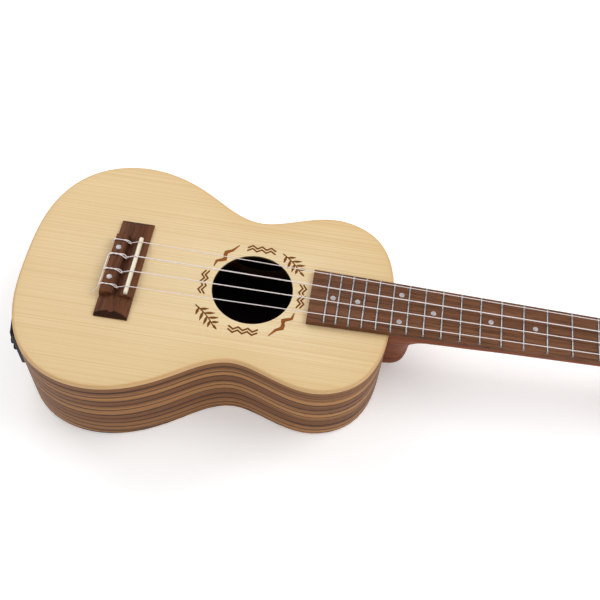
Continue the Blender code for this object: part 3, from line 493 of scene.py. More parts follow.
def spruce(name, with_edge):
    """Fine straight growth lines along x, faint cross silk and, with_edge, a warmer band at the rim."""
    wood = Shading(name, roughness=0.45, specular=0.25)
    pale = srgb(238, 216, 174)
    dark = srgb(208, 172, 118)
    growth = wood.noise((1.6, 880.0, 60.0), detail=1.0)
    rings = wood.noise((1.2, 480.0, 40.0), detail=0.0, shift=5.5)
    bands = wood.noise((2.0, 34.0, 10.0), detail=2.0, shift=3.0)
    silk = wood.noise((420.0, 60.0, 60.0), detail=2.0, shift=7.0)
    pores = wood.noise((90.0, 2600.0, 300.0), detail=1.0, shift=2.0)
    colour = wood.mix(wood.span(growth, 0.44, 0.68, 0.0, 0.50), pale, dark)
    colour = wood.tint(colour, dark, rings, 0.50, 0.74, 0.16)
    colour = wood.tint(colour, dark, bands, 0.35, 0.75, 0.10)
    colour = wood.tint(colour, srgb(238, 219, 182), silk, 0.55, 0.75, 0.20)
    colour = wood.tint(colour, srgb(190, 150, 98), pores, 0.60, 0.80, 0.15)
    if with_edge:
        inset = wood.attribute("inset")
        amber = wood.span(inset, 0.05, 1.0, 0.50, 0.0)
        colour = wood.mix(amber, colour, srgb(212, 174, 112))
        rim = wood.span(inset, 0.030, 0.062, 1.0, 0.0)
        grain = wood.noise((60.0, 60.0, 1500.0), detail=2.0, shift=5.0)
        rim_colour = wood.mix(grain, srgb(200, 156, 106), srgb(224, 186, 134))
        colour = wood.mix(rim, colour, rim_colour)
        colour = wood.mix(wood.attribute("bore"), colour, srgb(52, 36, 24))
    wood.set("Base Color", colour)
    wood.set("Roughness", wood.span(growth, 0.3, 0.7, 0.38, 0.50))
    wood.bump(wood.maths("ADD", growth, pores), 0.00004, 0.5)


def zebrano(name, axis):
    """Thin dark lines on tan wood, stacked along one axis of the instrument ("Y" or "Z")."""
    wood = Shading(name, roughness=0.5, specular=0.12)
    across = wood.node("ShaderNodeSeparateXYZ", {"Vector": wood.place()}).outputs[axis]

    def grain(along, fineness, detail, shift):
        stretch = (along, fineness, along) if axis == "Y" else (along, along, fineness)
        return wood.noise(stretch, detail=detail, shift=shift)

    def lines(spacing, wander, half_width, shift):
        shifted = wood.maths("MULTIPLY", wander, shift)
        phase = wood.maths("ADD", wood.maths("DIVIDE", across, spacing), shifted)
        away = wood.maths("ABSOLUTE", wood.maths("SUBTRACT", wood.maths("FRACT", phase), 0.5))
        return wood.span(away, 0.0, half_width, 1.0, 0.0)

    drift = grain(5.0, 38.0, 1.0, 11.0)
    broad = grain(2.0, 95.0, 1.0, 1.7)
    strength = grain(2.2, 260.0, 0.0, 4.3)
    threads = grain(3.0, 1700.0, 2.0, 8.1)
    pores = grain(110.0, 2600.0, 1.0, 2.2)
    colour = wood.mix(wood.span(broad, 0.34, 0.66), srgb(126, 82, 50), srgb(184, 132, 80))
    colour = wood.tint(colour, srgb(116, 74, 46), threads, 0.42, 0.70, 0.55)
    for family, weight, brown in (
        (lines(0.0021, drift, 0.30, 3.0), wood.span(broad, 0.3, 0.7, 0.75, 0.30), srgb(92, 56, 36)),
        (lines(0.0068, drift, 0.19, 1.6), wood.span(strength, 0.28, 0.46, 0.45, 1.0), srgb(34, 17, 10)),
        (lines(0.0113, broad, 0.07, 1.0), 0.9, srgb(50, 27, 17)),
    ):
        colour = wood.mix(wood.maths("MULTIPLY", family, weight), colour, brown)
    colour = wood.tint(colour, srgb(78, 48, 30), pores, 0.60, 0.76, 0.5)
    wood.set("Base Color", colour)
    wood.set("Roughness", wood.span(threads, 0.3, 0.7, 0.42, 0.58))
    wood.bump(wood.maths("SUBTRACT", threads, pores), 0.00004, 0.4)
    return wood


def shaded_inside(wood):
    """Darkens the faces that look into the sound box, which are bare wood in deep shade."""
    normal = wood.node("ShaderNodeNewGeometry").outputs["True Normal"]
    box_middle = (0.054, 0.0, -0.058)
    outward = wood.node("ShaderNodeVectorMath", {0: wood.place(), 1: box_middle}, operation="SUBTRACT")
    facing = wood.node("ShaderNodeVectorMath", {0: outward.outputs[0], 1: normal}, operation="DOT_PRODUCT")
    lit = wood.span(facing.outputs["Value"], -0.0006, 0.0006)
    colour = wood.shader.inputs["Base Color"].links[0].from_socket
    wood.set("Base Color", wood.mix(lit, srgb(26, 18, 14), colour))


def dark_wood(name, stretch, light, base, dark, with_painted_shade=False):
    """Open-pored brown wood with short dark pores along its grain, and painted shade, a darker brown, where
    the mesh asks for it.
    """
    wood = Shading(name, roughness=0.5, specular=0.09)
    broad = wood.noise(tuple(value * 0.25 for value in stretch), detail=2.0, shift=6.0)
    streaks = wood.noise(stretch, detail=3.0, roughness=0.6, shift=1.0)
    pores = wood.noise(tuple(value * 3.5 + 30.0 for value in stretch), detail=1.0, shift=9.0)
    colour = wood.mix(wood.span(broad, 0.35, 0.68), base, light)
    colour = wood.tint(colour, dark, streaks, 0.45, 0.72, 0.75)
    colour = wood.tint(colour, dark, pores, 0.58, 0.72, 0.6)
    if with_painted_shade:
        # Painted shade: the mesh's attribute blends in a dark brown where shade falls on the bridge.
        colour = wood.mix(wood.attribute("stain"), colour, srgb(40, 23, 15))
    wood.set("Base Color", colour)
    wood.set("Roughness", wood.span(pores, 0.4, 0.7, 0.42, 0.62))
    wood.bump(wood.maths("SUBTRACT", streaks, pores), 0.00006, 0.6)


def polished(name, colour, worn, roughness, metallic):
    """Smooth solid with a faint uneven tint and fine wear in its gloss."""
    surface = Shading(name, roughness=roughness, metallic=metallic)
    cloud = surface.noise((180.0,) * 3, detail=3.0)
    scratch = surface.noise((360.0, 5400.0, 5400.0), detail=2.0, shift=3.0)
    surface.set("Base Color", surface.tint(colour, worn, cloud, 0.4, 0.75, 0.6))
    surface.set("Roughness", surface.span(scratch, 0.3, 0.7, roughness * 0.75, roughness * 1.35))
    surface.bump(scratch, 0.00001, 0.3)


def moulded(name, colour, roughness, grain):
    """Moulded plastic or rubber with a fine pebbled skin."""
    surface = Shading(name, roughness=roughness, specular=0.25)
    pebble = surface.noise((grain,) * 3, detail=2.0)
    dust = surface.noise((grain * 0.05,) * 3, detail=3.0, shift=4.0)
    lighter = tuple(value * 1.6 + 0.002 for value in colour[:3]) + (1.0,)
    surface.set("Base Color", surface.tint(colour, lighter, dust, 0.4, 0.8, 0.5))
    surface.set("Roughness", surface.span(pebble, 0.3, 0.7, roughness - 0.08, roughness + 0.10))
    surface.bump(pebble, 0.00004, 0.5)


def nylon():
    """Translucent string, slightly pink."""
    surface = Shading("nylon", roughness=0.28)
    cloud = surface.noise((120.0, 900.0, 900.0), detail=2.0)
    surface.set("Base Color", surface.mix(cloud, srgb(255, 246, 243), srgb(244, 232, 232)))
    surface.set("Roughness", surface.span(cloud, 0.3, 0.7, 0.22, 0.36))
    surface.set("Transmission Weight", 0.15)


def pearl():
    """Inlay of pearl shell with soft cloudy bands."""
    surface = Shading("pearl", roughness=0.2, specular=0.6)
    clouds = surface.noise((500.0, 900.0, 500.0), detail=3.0, roughness=0.6)
    colour = surface.mix(surface.span(clouds, 0.35, 0.65), srgb(160, 156, 160), srgb(190, 184, 186))
    surface.set("Base Color", colour)
    surface.set("Coat Weight", 0.25)
    surface.set("Roughness", surface.span(clouds, 0.3, 0.7, 0.15, 0.30))


def burnt(name, middle, edge):
    """Scorched wood, darkest at the edges of each stroke, where it fades out."""
    surface = Shading(name, roughness=0.7, specular=0.05)
    speckle = surface.noise((1500.0,) * 3, detail=3.0, roughness=0.6)
    scorch = surface.attribute("scorch")
    depth = surface.maths("MULTIPLY", scorch, surface.span(speckle, 0.30, 0.60, 0.72, 1.0))
    surface.set("Base Color", surface.mix(depth, edge, middle))
    clear = surface.node("ShaderNodeBsdfTransparent")
    share = surface.span(depth, 0.02, 0.40)
    solid = surface.shader.outputs[0]
    blend = surface.node("ShaderNodeMixShader", {0: share, 1: clear.outputs[0], 2: solid})
    output = surface.tree.nodes["Material Output"]
    surface.tree.links.new(blend.outputs[0], output.inputs["Surface"])


def make_materials():
    """Every look by the name that the pieces ask for."""
    spruce("spruce", with_edge=False)
    spruce("spruce_top", with_edge=True)
    shaded_inside(zebrano("zebrano_sides", "Z"))
    shaded_inside(zebrano("zebrano_back", "Y"))
    walnut = srgb(130, 87, 61), srgb(107, 70, 49), srgb(56, 35, 24)
    bridge = srgb(114, 70, 46), srgb(93, 55, 36), srgb(48, 28, 18)
    mahogany = srgb(146, 80, 45), srgb(122, 62, 33), srgb(84, 39, 21)
    # Cedar's own tones, darkened as painted shade, since the cedar pieces all sit inside the sound box.
    cedar = srgb(124, 86, 54), srgb(106, 71, 44), srgb(78, 49, 30)
    dark_wood("rosewood_board", (26.0, 800.0, 300.0), *walnut)
    # The bridge's wood takes painted shade on its wing-end bevels and its channel floor.
    dark_wood("rosewood_bridge", (420.0, 14.0, 300.0), *bridge, with_painted_shade=True)
    dark_wood("mahogany", (12.0, 420.0, 420.0), *mahogany)
    dark_wood("cedar", (14.0, 500.0, 500.0), *cedar)
    polished("bone", srgb(238, 231, 208), srgb(224, 210, 176), 0.32, 0.0)
    polished("nickel", (0.56, 0.55, 0.53, 1.0), (0.42, 0.41, 0.40, 1.0), 0.20, 1.0)
    polished("fret_wire", (0.34, 0.33, 0.33, 1.0), (0.26, 0.25, 0.25, 1.0), 0.26, 1.0)
    polished("piezo", (0.40, 0.39, 0.37, 1.0), (0.30, 0.29, 0.27, 1.0), 0.4, 0.6)
    nylon()
    pearl()
    moulded("black_plastic", srgb(12, 12, 13), 0.46, 2600.0)
    moulded("knob_rubber", srgb(26, 26, 28), 0.55, 3200.0)
    moulded("pointer_white", srgb(225, 225, 222), 0.5, 2600.0)
    burnt("burnt_line", srgb(130, 76, 24), srgb(78, 42, 12))
    burnt("burnt_wide", srgb(162, 94, 36), srgb(70, 36, 14))


# ---------------------------------------------------------------------- pieces


def dress_nodes(nodes, record):
    """Gives each carried-over solid its look, from the record's slots."""
    slots = {row["node"]: row["material_slot"] for row in record["subparts"]}
    looks = {"zebrano": "zebrano_sides", "rosewood": "rosewood_board"}
    for name, node in nodes.items():
        look = "zebrano_back" if name == "back_plate" else looks.get(slots[name], slots[name])
        node.data.materials.clear()
        node.data.materials.append(MATERIALS[look])


def add_soundboard():
    """Top plate with a rounded rim: inset is 0 at the rim and 1 well inside it, bore is 1 in the hole."""
    builder = bmesh.new()
    inset_layer = builder.verts.layers.float.new("inset")
    bore_layer = builder.verts.layers.float.new("bore")
    inset_reach = 0.040

    def add_loop(points, inset, bore=0.0):
        loop = [builder.verts.new(point) for point in points]
        for vert in loop:
            vert[inset_layer] = inset
            vert[bore_layer] = bore
        return loop

    rim = [(0.0, -TOP_THICKNESS)]
    arc_steps = 6
    for i in range(arc_steps + 1):
        angle = math.pi / 2 * i / arc_steps
        rim.append((TOP_EDGE_RADIUS * (1.0 - math.cos(angle)), TOP_EDGE_RADIUS * (math.sin(angle) - 1.0)))
    rim += [(inset, 0.0) for inset in (0.0028, 0.0040, 0.0065, 0.0100)]
    outer = []
    for inset, height in rim:
        outer.append(add_loop([(x, y, height) for x, y in full_outline(inset)], inset / inset_reach))
    edge = SOUNDHOLE_EDGE
    inner = []
    for wider, height, bore in (
        (edge, 0.0, 0.0), (edge * 0.3, -edge * 0.3, 0.0), (0.0, -edge, 0.6), (0.0, -edge * 1.6, 1.0),
        (0.0, -TOP_THICKNESS, 1.0),
    ):
        ring = circle(SOUNDHOLE_RADIUS + wider, 96, height)
        inner.append(add_loop([(x + SOUNDHOLE_X, y, z) for x, y, z in ring], 1.0, bore))
    join_loops(builder, outer)
    join_loops(builder, inner)
    for loops in ((outer[-1], inner[0]), (outer[0], inner[-1])):
        edges = []
        for loop in loops:
            edges += [builder.edges.get(pair) for pair in zip(loop, loop[1:] + loop[:1])]
        bmesh.ops.triangle_fill(builder, use_beauty=True, edges=edges)
    add_piece("top_plate", builder, "spruce_top", replaces=["soundboard"])


def wing_height(x):
    """Crowned top of the bridge's wings across their width."""
    middle = (BRIDGE_REAR_X + BRIDGE_FRONT_X) / 2
    share = (x - middle) / (BRIDGE_FRONT_X - middle)
    return WING_CROWN_HEIGHT - (WING_CROWN_HEIGHT - WING_EDGE_HEIGHT) * share**2


def bridge_profile():
    """Top of the bridge's centre block from rear to front, finely stepped for the crowned wings."""
    corners = [
        (BRIDGE_REAR_X, 0.0050), (BRIDGE_REAR_X + 0.0004, TIE_BLOCK_HEIGHT - 0.0006),
        (BRIDGE_REAR_X + 0.0013, TIE_BLOCK_HEIGHT), (TIE_BLOCK_CROWN_X, TIE_BLOCK_HEIGHT + TIE_BLOCK_CROWN),
        (TIE_BLOCK_FRONT_X - 0.0010, TIE_BLOCK_HEIGHT),
        (TIE_BLOCK_FRONT_X - 0.0002, TIE_BLOCK_HEIGHT - 0.0005),
        (TIE_BLOCK_FRONT_X + 0.0002, CHANNEL_FLOOR_HEIGHT + 0.0004),
        (TIE_BLOCK_FRONT_X + 0.0006, CHANNEL_FLOOR_HEIGHT), (CHANNEL_FRONT_X, CHANNEL_FLOOR_HEIGHT),
        (-0.0040, LEDGE_HEIGHT - 0.0003), (-0.0026, LEDGE_HEIGHT), (0.0026, LEDGE_HEIGHT),
        (BRIDGE_FRONT_X - 0.0008, LEDGE_HEIGHT - 0.0007),
        (BRIDGE_FRONT_X - 0.0002, LEDGE_HEIGHT - 0.0016), (BRIDGE_FRONT_X, LEDGE_HEIGHT - 0.0030),
    ]
    profile = [corners[0]]
    for (x0, z0), (x1, z1) in zip(corners, corners[1:]):
        pieces = max(1, round((x1 - x0) / 0.0012))
        for i in range(1, pieces + 1):
            t = i / pieces
            profile.append((x0 + t * (x1 - x0), z0 + t * (z1 - z0)))
    return profile


def bridge_stations():
    """Places along the bridge, each with its share of the centre block's height."""
    block = BRIDGE_BLOCK_HALF_LENGTH
    half = [
        (0.0, 1.0), (block - 0.0010, 1.0), (block - 0.0003, 0.95), (block, 0.86), (block + 0.0002, 0.0),
    ]
    bevel_steps = 12
    for i in range(bevel_steps + 1):
        half.append((BRIDGE_HALF_LENGTH - WING_BEVEL_LENGTH * (1.0 - i / bevel_steps), 0.0))
    return [(-y, share) for y, share in half[:0:-1]] + half


def add_bridge():
    """Bridge with crowned wings, bevelled wing ends, saddle slot, tie holes and two dots."""
    profile = bridge_profile()
    rings = []
    painted_shade_values = []
    for y, share in bridge_stations():
        ring = [(BRIDGE_FRONT_X, y, 0.0), (BRIDGE_REAR_X, y, 0.0)]
        painted_shade_values += [0.0, 0.0]
        ceiling = WING_END_HEIGHT + WING_BEVEL_SLOPE * (BRIDGE_HALF_LENGTH - abs(y))
        for x, z in profile:
            low = min(wing_height(x), z, ceiling)
            ring.append((x, y, GAP + low + share * (z - low)))
            # Painted shade: 0.85 on the steep wing-end bevels and 0.6 on the channel floor in front of the
            # tie block.
            in_channel = TIE_BLOCK_FRONT_X < x < CHANNEL_FRONT_X and share > 0.0
            on_bevel = ceiling < min(wing_height(x), z)
            painted_shade_values.append(0.85 if on_bevel else 0.6 if in_channel else 0.0)
        rings.append(ring)
    builder = loft(rings)
    layer = builder.verts.layers.float.new("stain")
    for vert, stain in zip(builder.verts, painted_shade_values):
        vert[layer] = stain
    bridge = add_piece(
        "bridge_body", builder, "rosewood_bridge", replaces=["bridge"], sharp_degrees=30.0
    )
    fit = 0.0001
    slot = box(SADDLE_THICKNESS / 2 + fit, SADDLE_HALF_LENGTH + fit, SADDLE_SLOT_FLOOR, 2.0 * PAST)
    cut(bridge, slot, TOP)
    hole_reach = 0.007
    middle = (BRIDGE_REAR_X + TIE_BLOCK_FRONT_X) / 2
    for i in range(len(STRINGS)):
        hole = turned([(TIE_HOLE_RADIUS, -hole_reach), (TIE_HOLE_RADIUS, hole_reach)], 16)
        place = Matrix.Translation((middle, string_y(i, SADDLE_SPACING), TIE_HOLE_HEIGHT))
        cut(bridge, hole, TOP @ place @ Matrix.Rotation(math.pi / 2, 4, "Y"))
    top = GAP + TIE_BLOCK_HEIGHT + TIE_BLOCK_CROWN
    for label, y in (("treble", -BRIDGE_DOT_Y), ("bass", BRIDGE_DOT_Y)):
        add_dot(f"bridge_dot_{label}", (TIE_BLOCK_CROWN_X, y, top), BRIDGE_DOT_RADIUS)


def add_dot(name, place, radius):
    """Round inlay, a hair proud and slightly crowned."""
    profile = [
        (radius, -0.0006), (radius, 0.00004), (radius * 0.96, 0.00010), (radius * 0.6, 0.00018),
        (radius * 0.1, 0.00020),
    ]
    add_piece(name, turned(profile), "pearl", placed=TOP @ Matrix.Translation(place))


def add_fretboard():
    """Board with eased long edges and end, and its position dots."""
    rings = []
    ease = 0.0004
    for x, pull in (
        (BOARD_START_X, ease), (BOARD_START_X + ease * 0.3, ease * 0.3), (BOARD_START_X + ease, 0.0),
        (SCALE_LENGTH - 0.001, 0.0), (SCALE_LENGTH, 0.0),
    ):
        half = board_half_width(x)
        top = BOARD_TOP - pull
        side = [
            (half - pull, 0.0), (half, ease * 0.4), (half, top - ease),
            (half - ease * 0.3, top - ease * 0.3), (half - ease, top),
        ]
        rings.append([(x, -y, z) for y, z in side] + [(x, y, z) for y, z in side[::-1]])
    add_piece(
        "fretboard_body", loft(rings), "rosewood_board",
        replaces=["fretboard"], sharp_degrees=25.0,
    )
    for number in MARKED_FRETS:
        x = (fret_x(number) + fret_x(number - 1)) / 2
        sides = (-PAIRED_MARKER_Y, PAIRED_MARKER_Y) if number == 12 else (0.0,)
        for index, y in enumerate(sides):
            add_dot(f"marker_{number:02d}_{index + 1}", (x, y, BOARD_TOP), MARKER_RADIUS)


def add_frets():
    """Crowned wires seated on the board, with their ends bevelled inwards."""
    base = BOARD_TOP - 0.0001
    arc_steps = 8
    bevel = [(0.0, 0.10), (0.0003, 0.55), (0.0009, 0.92), (0.0018, 1.0)]
    ends = [(-1.0, inset, rise) for inset, rise in bevel]
    ends += [(1.0, inset, rise) for inset, rise in bevel[::-1]]
    for number in range(1, FRET_COUNT + 1):
        x = fret_x(number)
        reach = board_half_width(x) - 0.0001
        rings = []
        for side, inset, rise in ends:
            ring = []
            for i in range(arc_steps + 1):
                angle = math.pi * i / arc_steps
                crown = FRET_RISE * rise * math.sin(angle) ** 0.8
                ring.append((x + FRET_HALF_WIDTH * math.cos(angle), side * (reach - inset), base + crown))
            rings.append(ring)
        add_piece(
            f"fret_wire_{number:02d}", loft(rings), "fret_wire",
            replaces=[f"fret_{number:02d}"],
        )


def string_path(index, name):
    """Middle line of a string from its post over nut and saddle to the knot at the bridge."""
    radius = STRINGS[name]
    y_saddle = string_y(index, SADDLE_SPACING)
    y_nut = string_y(index, NUT_SPACING)
    u, v = POSTS[name]
    inner = v - math.copysign(POST_RADIUS + radius + GAP, v)
    nut = SCALE_LENGTH + GAP
    slot_floor = NUT_TOP - NUT_SLOT_DEPTH + radius
    over = SADDLE_TOP + radius
    hole = TIE_HOLE_HEIGHT
    front = TIE_BLOCK_FRONT_X
    rear = BRIDGE_REAR_X
    deck = GAP + TIE_BLOCK_HEIGHT + TIE_BLOCK_CROWN + radius
    twist = 1.35 * radius
    points = [
        tuple(TOP.inverted() @ HEAD @ Vector((u, inner, POST_NECK_HEIGHT))),
        (nut + NUT_LENGTH + 0.0004, y_nut, slot_floor - 0.0010),
        (nut + NUT_LENGTH * 0.45, y_nut, slot_floor), (nut - 0.0002, y_nut, slot_floor),
        (0.0006, y_saddle, over), (-0.0004, y_saddle, over), (-0.0016, y_saddle, over - 0.0005),
    ]
    through_and_round = [
        (front + 0.0016, 0.0, hole + 0.0008), (front - 0.0006, 0.0, hole), (rear - 0.0002, 0.0, hole),
        (rear - 0.0009, 0.2, hole + 0.0008), (rear - 0.0004, 0.4, deck - 0.0006),
        (rear + 0.0010, 0.6, deck + 0.0001), (TIE_BLOCK_CROWN_X - 0.0005, -0.5, deck + 0.8 * radius),
        (front - 0.0014, 1.0, deck + 0.0001), (front + 0.0004, 1.9, deck - 0.0010),
        (front + 0.0018, 1.5, hole + 0.0010), (front + 0.0022, 0.0, hole - 1.0 * radius),
        (front + 0.0016, -1.7, hole + 0.0010), (front + 0.0003, -1.4, deck - 0.0008),
        (front - 0.0014, -0.9, deck + 0.0002), (TIE_BLOCK_CROWN_X, 0.9, deck),
        (rear + 0.0014, -0.6, deck + 0.6 * radius), (rear - 0.0002, -1.4, deck - 0.0001),
        (rear - 0.0009, -3.0, deck - 0.0012),
    ]
    points += [(x, y_saddle + share * twist, z) for x, share, z in through_and_round]
    tail = STRING_TAILS[name]
    return rounded_path(points + [(rear + x, y_saddle + y, deck + z) for x, y, z in tail], STRING_BEND)


def add_strings():
    """Each string with its knot, and its turns round the post."""
    for index, (name, radius) in enumerate(STRINGS.items()):
        add_piece(
            f"string_line_{name}", tube(string_path(index, name), radius), "nylon",
            replaces=[f"string_{name}"],
        )
        add_string_wrap(name, radius)


def add_string_wrap(name, radius):
    """Turns of string round the post's neck, with a cut end that stands out."""
    u, v = POSTS[name]
    side = math.copysign(1.0, v)
    turns = 2.75
    settling_turns = 0.35
    steps = 24
    start_angle = -side * math.pi / 2
    points = []
    for i in range(int(turns * steps) + 1):
        t = i / steps
        settle = min(1.0, t / settling_turns)
        distance = (POST_RADIUS + radius + GAP) * (1 - settle)
        distance += (POST_WAIST_RADIUS + radius * 1.05) * settle
        angle = start_angle + side * TURN * t
        height = POST_NECK_HEIGHT - 2.1 * radius * max(0.0, t - 0.2) + 0.6 * radius
        points.append(Vector((u + distance * math.cos(angle), v + distance * math.sin(angle), height)))
    last = points[-1]
    outward = (last - points[-2]).normalized()
    points.append(last + outward * 0.0015 + Vector((0.0, 0.0, 0.0002)))
    points.append(last + outward * 0.0040 + Vector((0.0, 0.0, 0.0010)))
    add_piece(f"string_wrap_{name}", tube(points, radius, 10), "nylon", f"post_{name}", HEAD)


def ribbon(path, widths):
    """Flat stroke just above the soundboard; scorch is 1 along its middle and 0 at its edges."""
    builder = bmesh.new()
    layer = builder.verts.layers.float.new("scorch")
    columns = ((-1.0, 0.0), (-0.55, 0.75), (0.0, 1.0), (0.55, 0.75), (1.0, 0.0))
    rows = []
    for i, point in enumerate(path):
        before = path[max(i - 1, 0)]
        after = path[min(i + 1, len(path) - 1)]
        first = (point - before).normalized() if i else (after - point).normalized()
        second = (after - point).normalized() if i < len(path) - 1 else first
        along = (first + second).normalized()
        across = Vector((-along.y, along.x))
        stretch = 1.0 / max(0.5, along.dot(second))
        fade = 0.0 if i in (0, len(path) - 1) else 1.0
        row = []
        for share, scorch in columns:
            spot = point + across * share * widths[i] / 2 * stretch
            vert = builder.verts.new((spot.x, spot.y, STROKE_LIFT))
            vert[layer] = scorch * fade
            row.append(vert)
        rows.append(row)
    for lower, upper in zip(rows, rows[1:]):
        for i in range(len(columns) - 1):
            builder.faces.new((lower[i], lower[i + 1], upper[i + 1], upper[i]))
    return builder


def stroke(name, corners, widths, finer=4):
    """Burnt line through corners, its width interpolated between them, with short narrower ends."""
    path = []
    spread = []
    for (x0, y0), (x1, y1), w0, w1 in zip(corners, corners[1:], widths, widths[1:]):
        for i in range(finer):
            t = i / finer
            path.append(Vector((x0 + t * (x1 - x0), y0 + t * (y1 - y0))))
            spread.append(w0 + t * (w1 - w0))
    path.append(Vector(corners[-1]))
    spread.append(widths[-1])
    before = path[0] + (path[0] - path[1]).normalized() * spread[0] * 0.4
    after = path[-1] + (path[-1] - path[-2]).normalized() * spread[-1] * 0.4
    path = [before, *path, after]
    spread = [spread[0] * 0.6, *spread, spread[-1] * 0.6]
    look = "burnt_wide" if max(widths) > WIDE_STROKE else "burnt_line"
    add_piece(name, ribbon(path, spread), look)


def zigzag(start, along, across, count):
    """Corner points of a zigzag that steps by along and swings by across."""
    points = []
    for i in range(count):
        swing = across if i % 2 else (0.0, 0.0)
        points.append((start[0] + i * along[0] + swing[0], start[1] + i * along[1] + swing[1]))
    return points


def add_ornament():
    """Ring of burnt motifs round the soundhole: waves, zigzags, jagged strokes and two leaf sprigs."""
    for side, label in ((1.0, "bass"), (-1.0, "treble")):
        for row, distance in (("inner", 0.0334), ("outer", 0.0361)):
            start = (SOUNDHOLE_X + side * 0.0008 - 0.0104, side * distance)
            points = zigzag(start, (0.00347, 0.0), (0.0, side * 0.0023), 7)
            stroke(f"wave_{label}_{row}", points, [LINE_WIDTH] * len(points))
    upper = [(-0.0364, 0.0100), (-0.0387, 0.0062), (-0.0363, 0.0035), (-0.0389, -0.0002)]
    lower = [(-0.0373, -0.0017), (-0.0364, -0.0032), (-0.0388, -0.0069), (-0.0364, -0.0100)]
    for turn, label in ((1.0, "tail"), (-1.0, "neck")):
        for row, shift in (("a", 0.0), ("b", 0.0026)):
            for part, corners in (("upper", upper), ("lower", lower)):
                points = [(SOUNDHOLE_X + turn * (dx + shift), turn * dy) for dx, dy in corners]
                stroke(f"zigzag_{label}_{row}_{part}", points, [LINE_WIDTH * 0.95] * 4)
    add_jagged_strokes()
    add_sprig("sprig_neck", (0.1048, 0.0350), (0.1212, 0.0188))
    add_sprig("sprig_tail", (0.0498, -0.0205), (0.0668, -0.0372))


def add_jagged_strokes():
    """Two tapered strokes with a break in the middle, opposite each other across the hole."""
    outer = [(-0.0172, 0.0366), (-0.0215, 0.0312), (-0.0256, 0.0290), (-0.0260, 0.0258)]
    inner = [(-0.0256, 0.0243), (-0.0256, 0.0224), (-0.0312, 0.0200), (-0.0324, 0.0151)]
    for turn, label in ((1.0, "tail"), (-1.0, "neck")):
        for part, corners, widths in (
            ("outer", outer, [0.0009, 0.0023, 0.0033, 0.0032]),
            ("inner", inner, [0.0031, 0.0033, 0.0023, 0.0009]),
        ):
            points = [(SOUNDHOLE_X + 0.0008 + turn * dx, turn * dy) for dx, dy in corners]
            stroke(f"jag_{label}_{part}", points, widths)


def add_sprig(name, start, end):
    """Leaf sprig: a stem with pairs of pointed leaves and one at its tip."""
    stem_start = Vector(start)
    stem = Vector(end) - stem_start
    along = stem.normalized()
    across = Vector((-along.y, along.x))
    bow = 0.0012

    def on_stem(t):
        return stem_start + stem * t + across * bow * math.sin(math.pi * t)

    points = [tuple(on_stem(i / 8)) for i in range(8)]
    stroke(f"{name}_stem", points, [0.0012 - 0.00004 * i for i in range(8)], 2)
    widths = [0.0006, 0.0021, 0.0023, 0.0012, 0.0004]
    leaf_number = 0
    for t, size in ((0.16, 0.0058), (0.36, 0.0072), (0.56, 0.0068), (0.74, 0.0052)):
        for side in (-1.0, 1.0):
            leaf_number += 1
            root = on_stem(t + 0.03 * side)
            lean = (along * 0.75 + across * side * 0.9).normalized()
            curl = across * side * size * 0.10
            leaf = [tuple(root + lean * size * s + curl * s * s) for s in (0.06, 0.3, 0.6, 0.85, 1.0)]
            stroke(f"{name}_leaf_{leaf_number}", leaf, widths, 3)
    tip = on_stem(0.86)
    leaf = [tuple(tip + along * 0.0052 * s) for s in (0.0, 0.3, 0.6, 0.85, 1.0)]
    stroke(f"{name}_leaf_tip", leaf, [0.0006, 0.0019, 0.0021, 0.0011, 0.0004], 3)


def neck_stations():
    """Sections from the heel's foot to the nut: pivot x and z, nose x and z, half width, fullness."""
    joint = NECK_JOINT_X + 2 * GAP
    heel = [
        (-0.0622, 0.2015, -0.0622, 0.0076), (-0.0616, 0.2045, -0.0613, 0.0090),
        (-0.0592, 0.2068, -0.0580, 0.0100), (-0.0520, 0.2082, -0.0500, 0.0108),
        (-0.0440, 0.2086, -0.0420, 0.0118), (-0.0360, 0.2090, -0.0350, 0.0131),
        (-0.0280, 0.2096, -0.0292, 0.0149), (-0.0200, 0.2110, -0.0244, 0.0169),
        (-0.0120, 0.2134, -0.0206, 0.0189), (-0.0050, 0.2166, -0.0180, 0.0203),
        (0.0, 0.2205, -0.0160, 0.0211),
    ]
    stations = [(joint, *section, 2.7) for section in heel]
    for x, nose_x, nose_z in (
        (0.205, 0.2260, -0.0148), (0.218, 0.2325, -0.0142), (0.232, 0.2400, -0.0139),
        (0.250, 0.2520, -NECK_DEPTH),
    ):
        stations.append((x, 0.0, nose_x, nose_z, board_half_width(x), 2.4))
    for i in range(1, 7):
        x = NECK_TAPER_START_X + (NECK_END_X - NECK_TAPER_START_X) * i / 6
        depth = NECK_DEPTH - NECK_DEPTH_LOSS * i / 6
        lean = depth * math.tan(HEADSTOCK_ANGLE) if i == 6 else 0.0
        stations.append((x, 0.0, x - lean, -depth, board_half_width(x), 2.2))
    return stations


def add_neck():
    """Heel and neck in one piece: sections swing from level in the heel to upright in the neck."""
    steps = 40
    rings = []
    for pivot_x, pivot_z, nose_x, nose_z, half_width, fullness in finer_rows(neck_stations(), 3):
        ring = []
        for i in range(steps + 1):
            angle = math.pi * (i / steps - 0.5)
            across = math.copysign(abs(math.sin(angle)) ** (2.0 / fullness), math.sin(angle))
            along = abs(math.cos(angle)) ** (2.0 / fullness)
            x = pivot_x + along * (nose_x - pivot_x)
            z = pivot_z + along * (nose_z - pivot_z)
            ring.append((x, across * half_width, z))
        rings.append(ring)
    add_piece("neck_body", loft(rings), "mahogany", replaces=["neck"], sharp_degrees=35.0)


def shaft_ring(radius, y, flat=1.0):
    """Ring round the y axis, flattened in z for the button."""
    angles = [TURN * j / WORM_SIDES for j in range(WORM_SIDES)]
    return [(radius * math.cos(a), y, flat * radius * math.sin(a)) for a in angles]


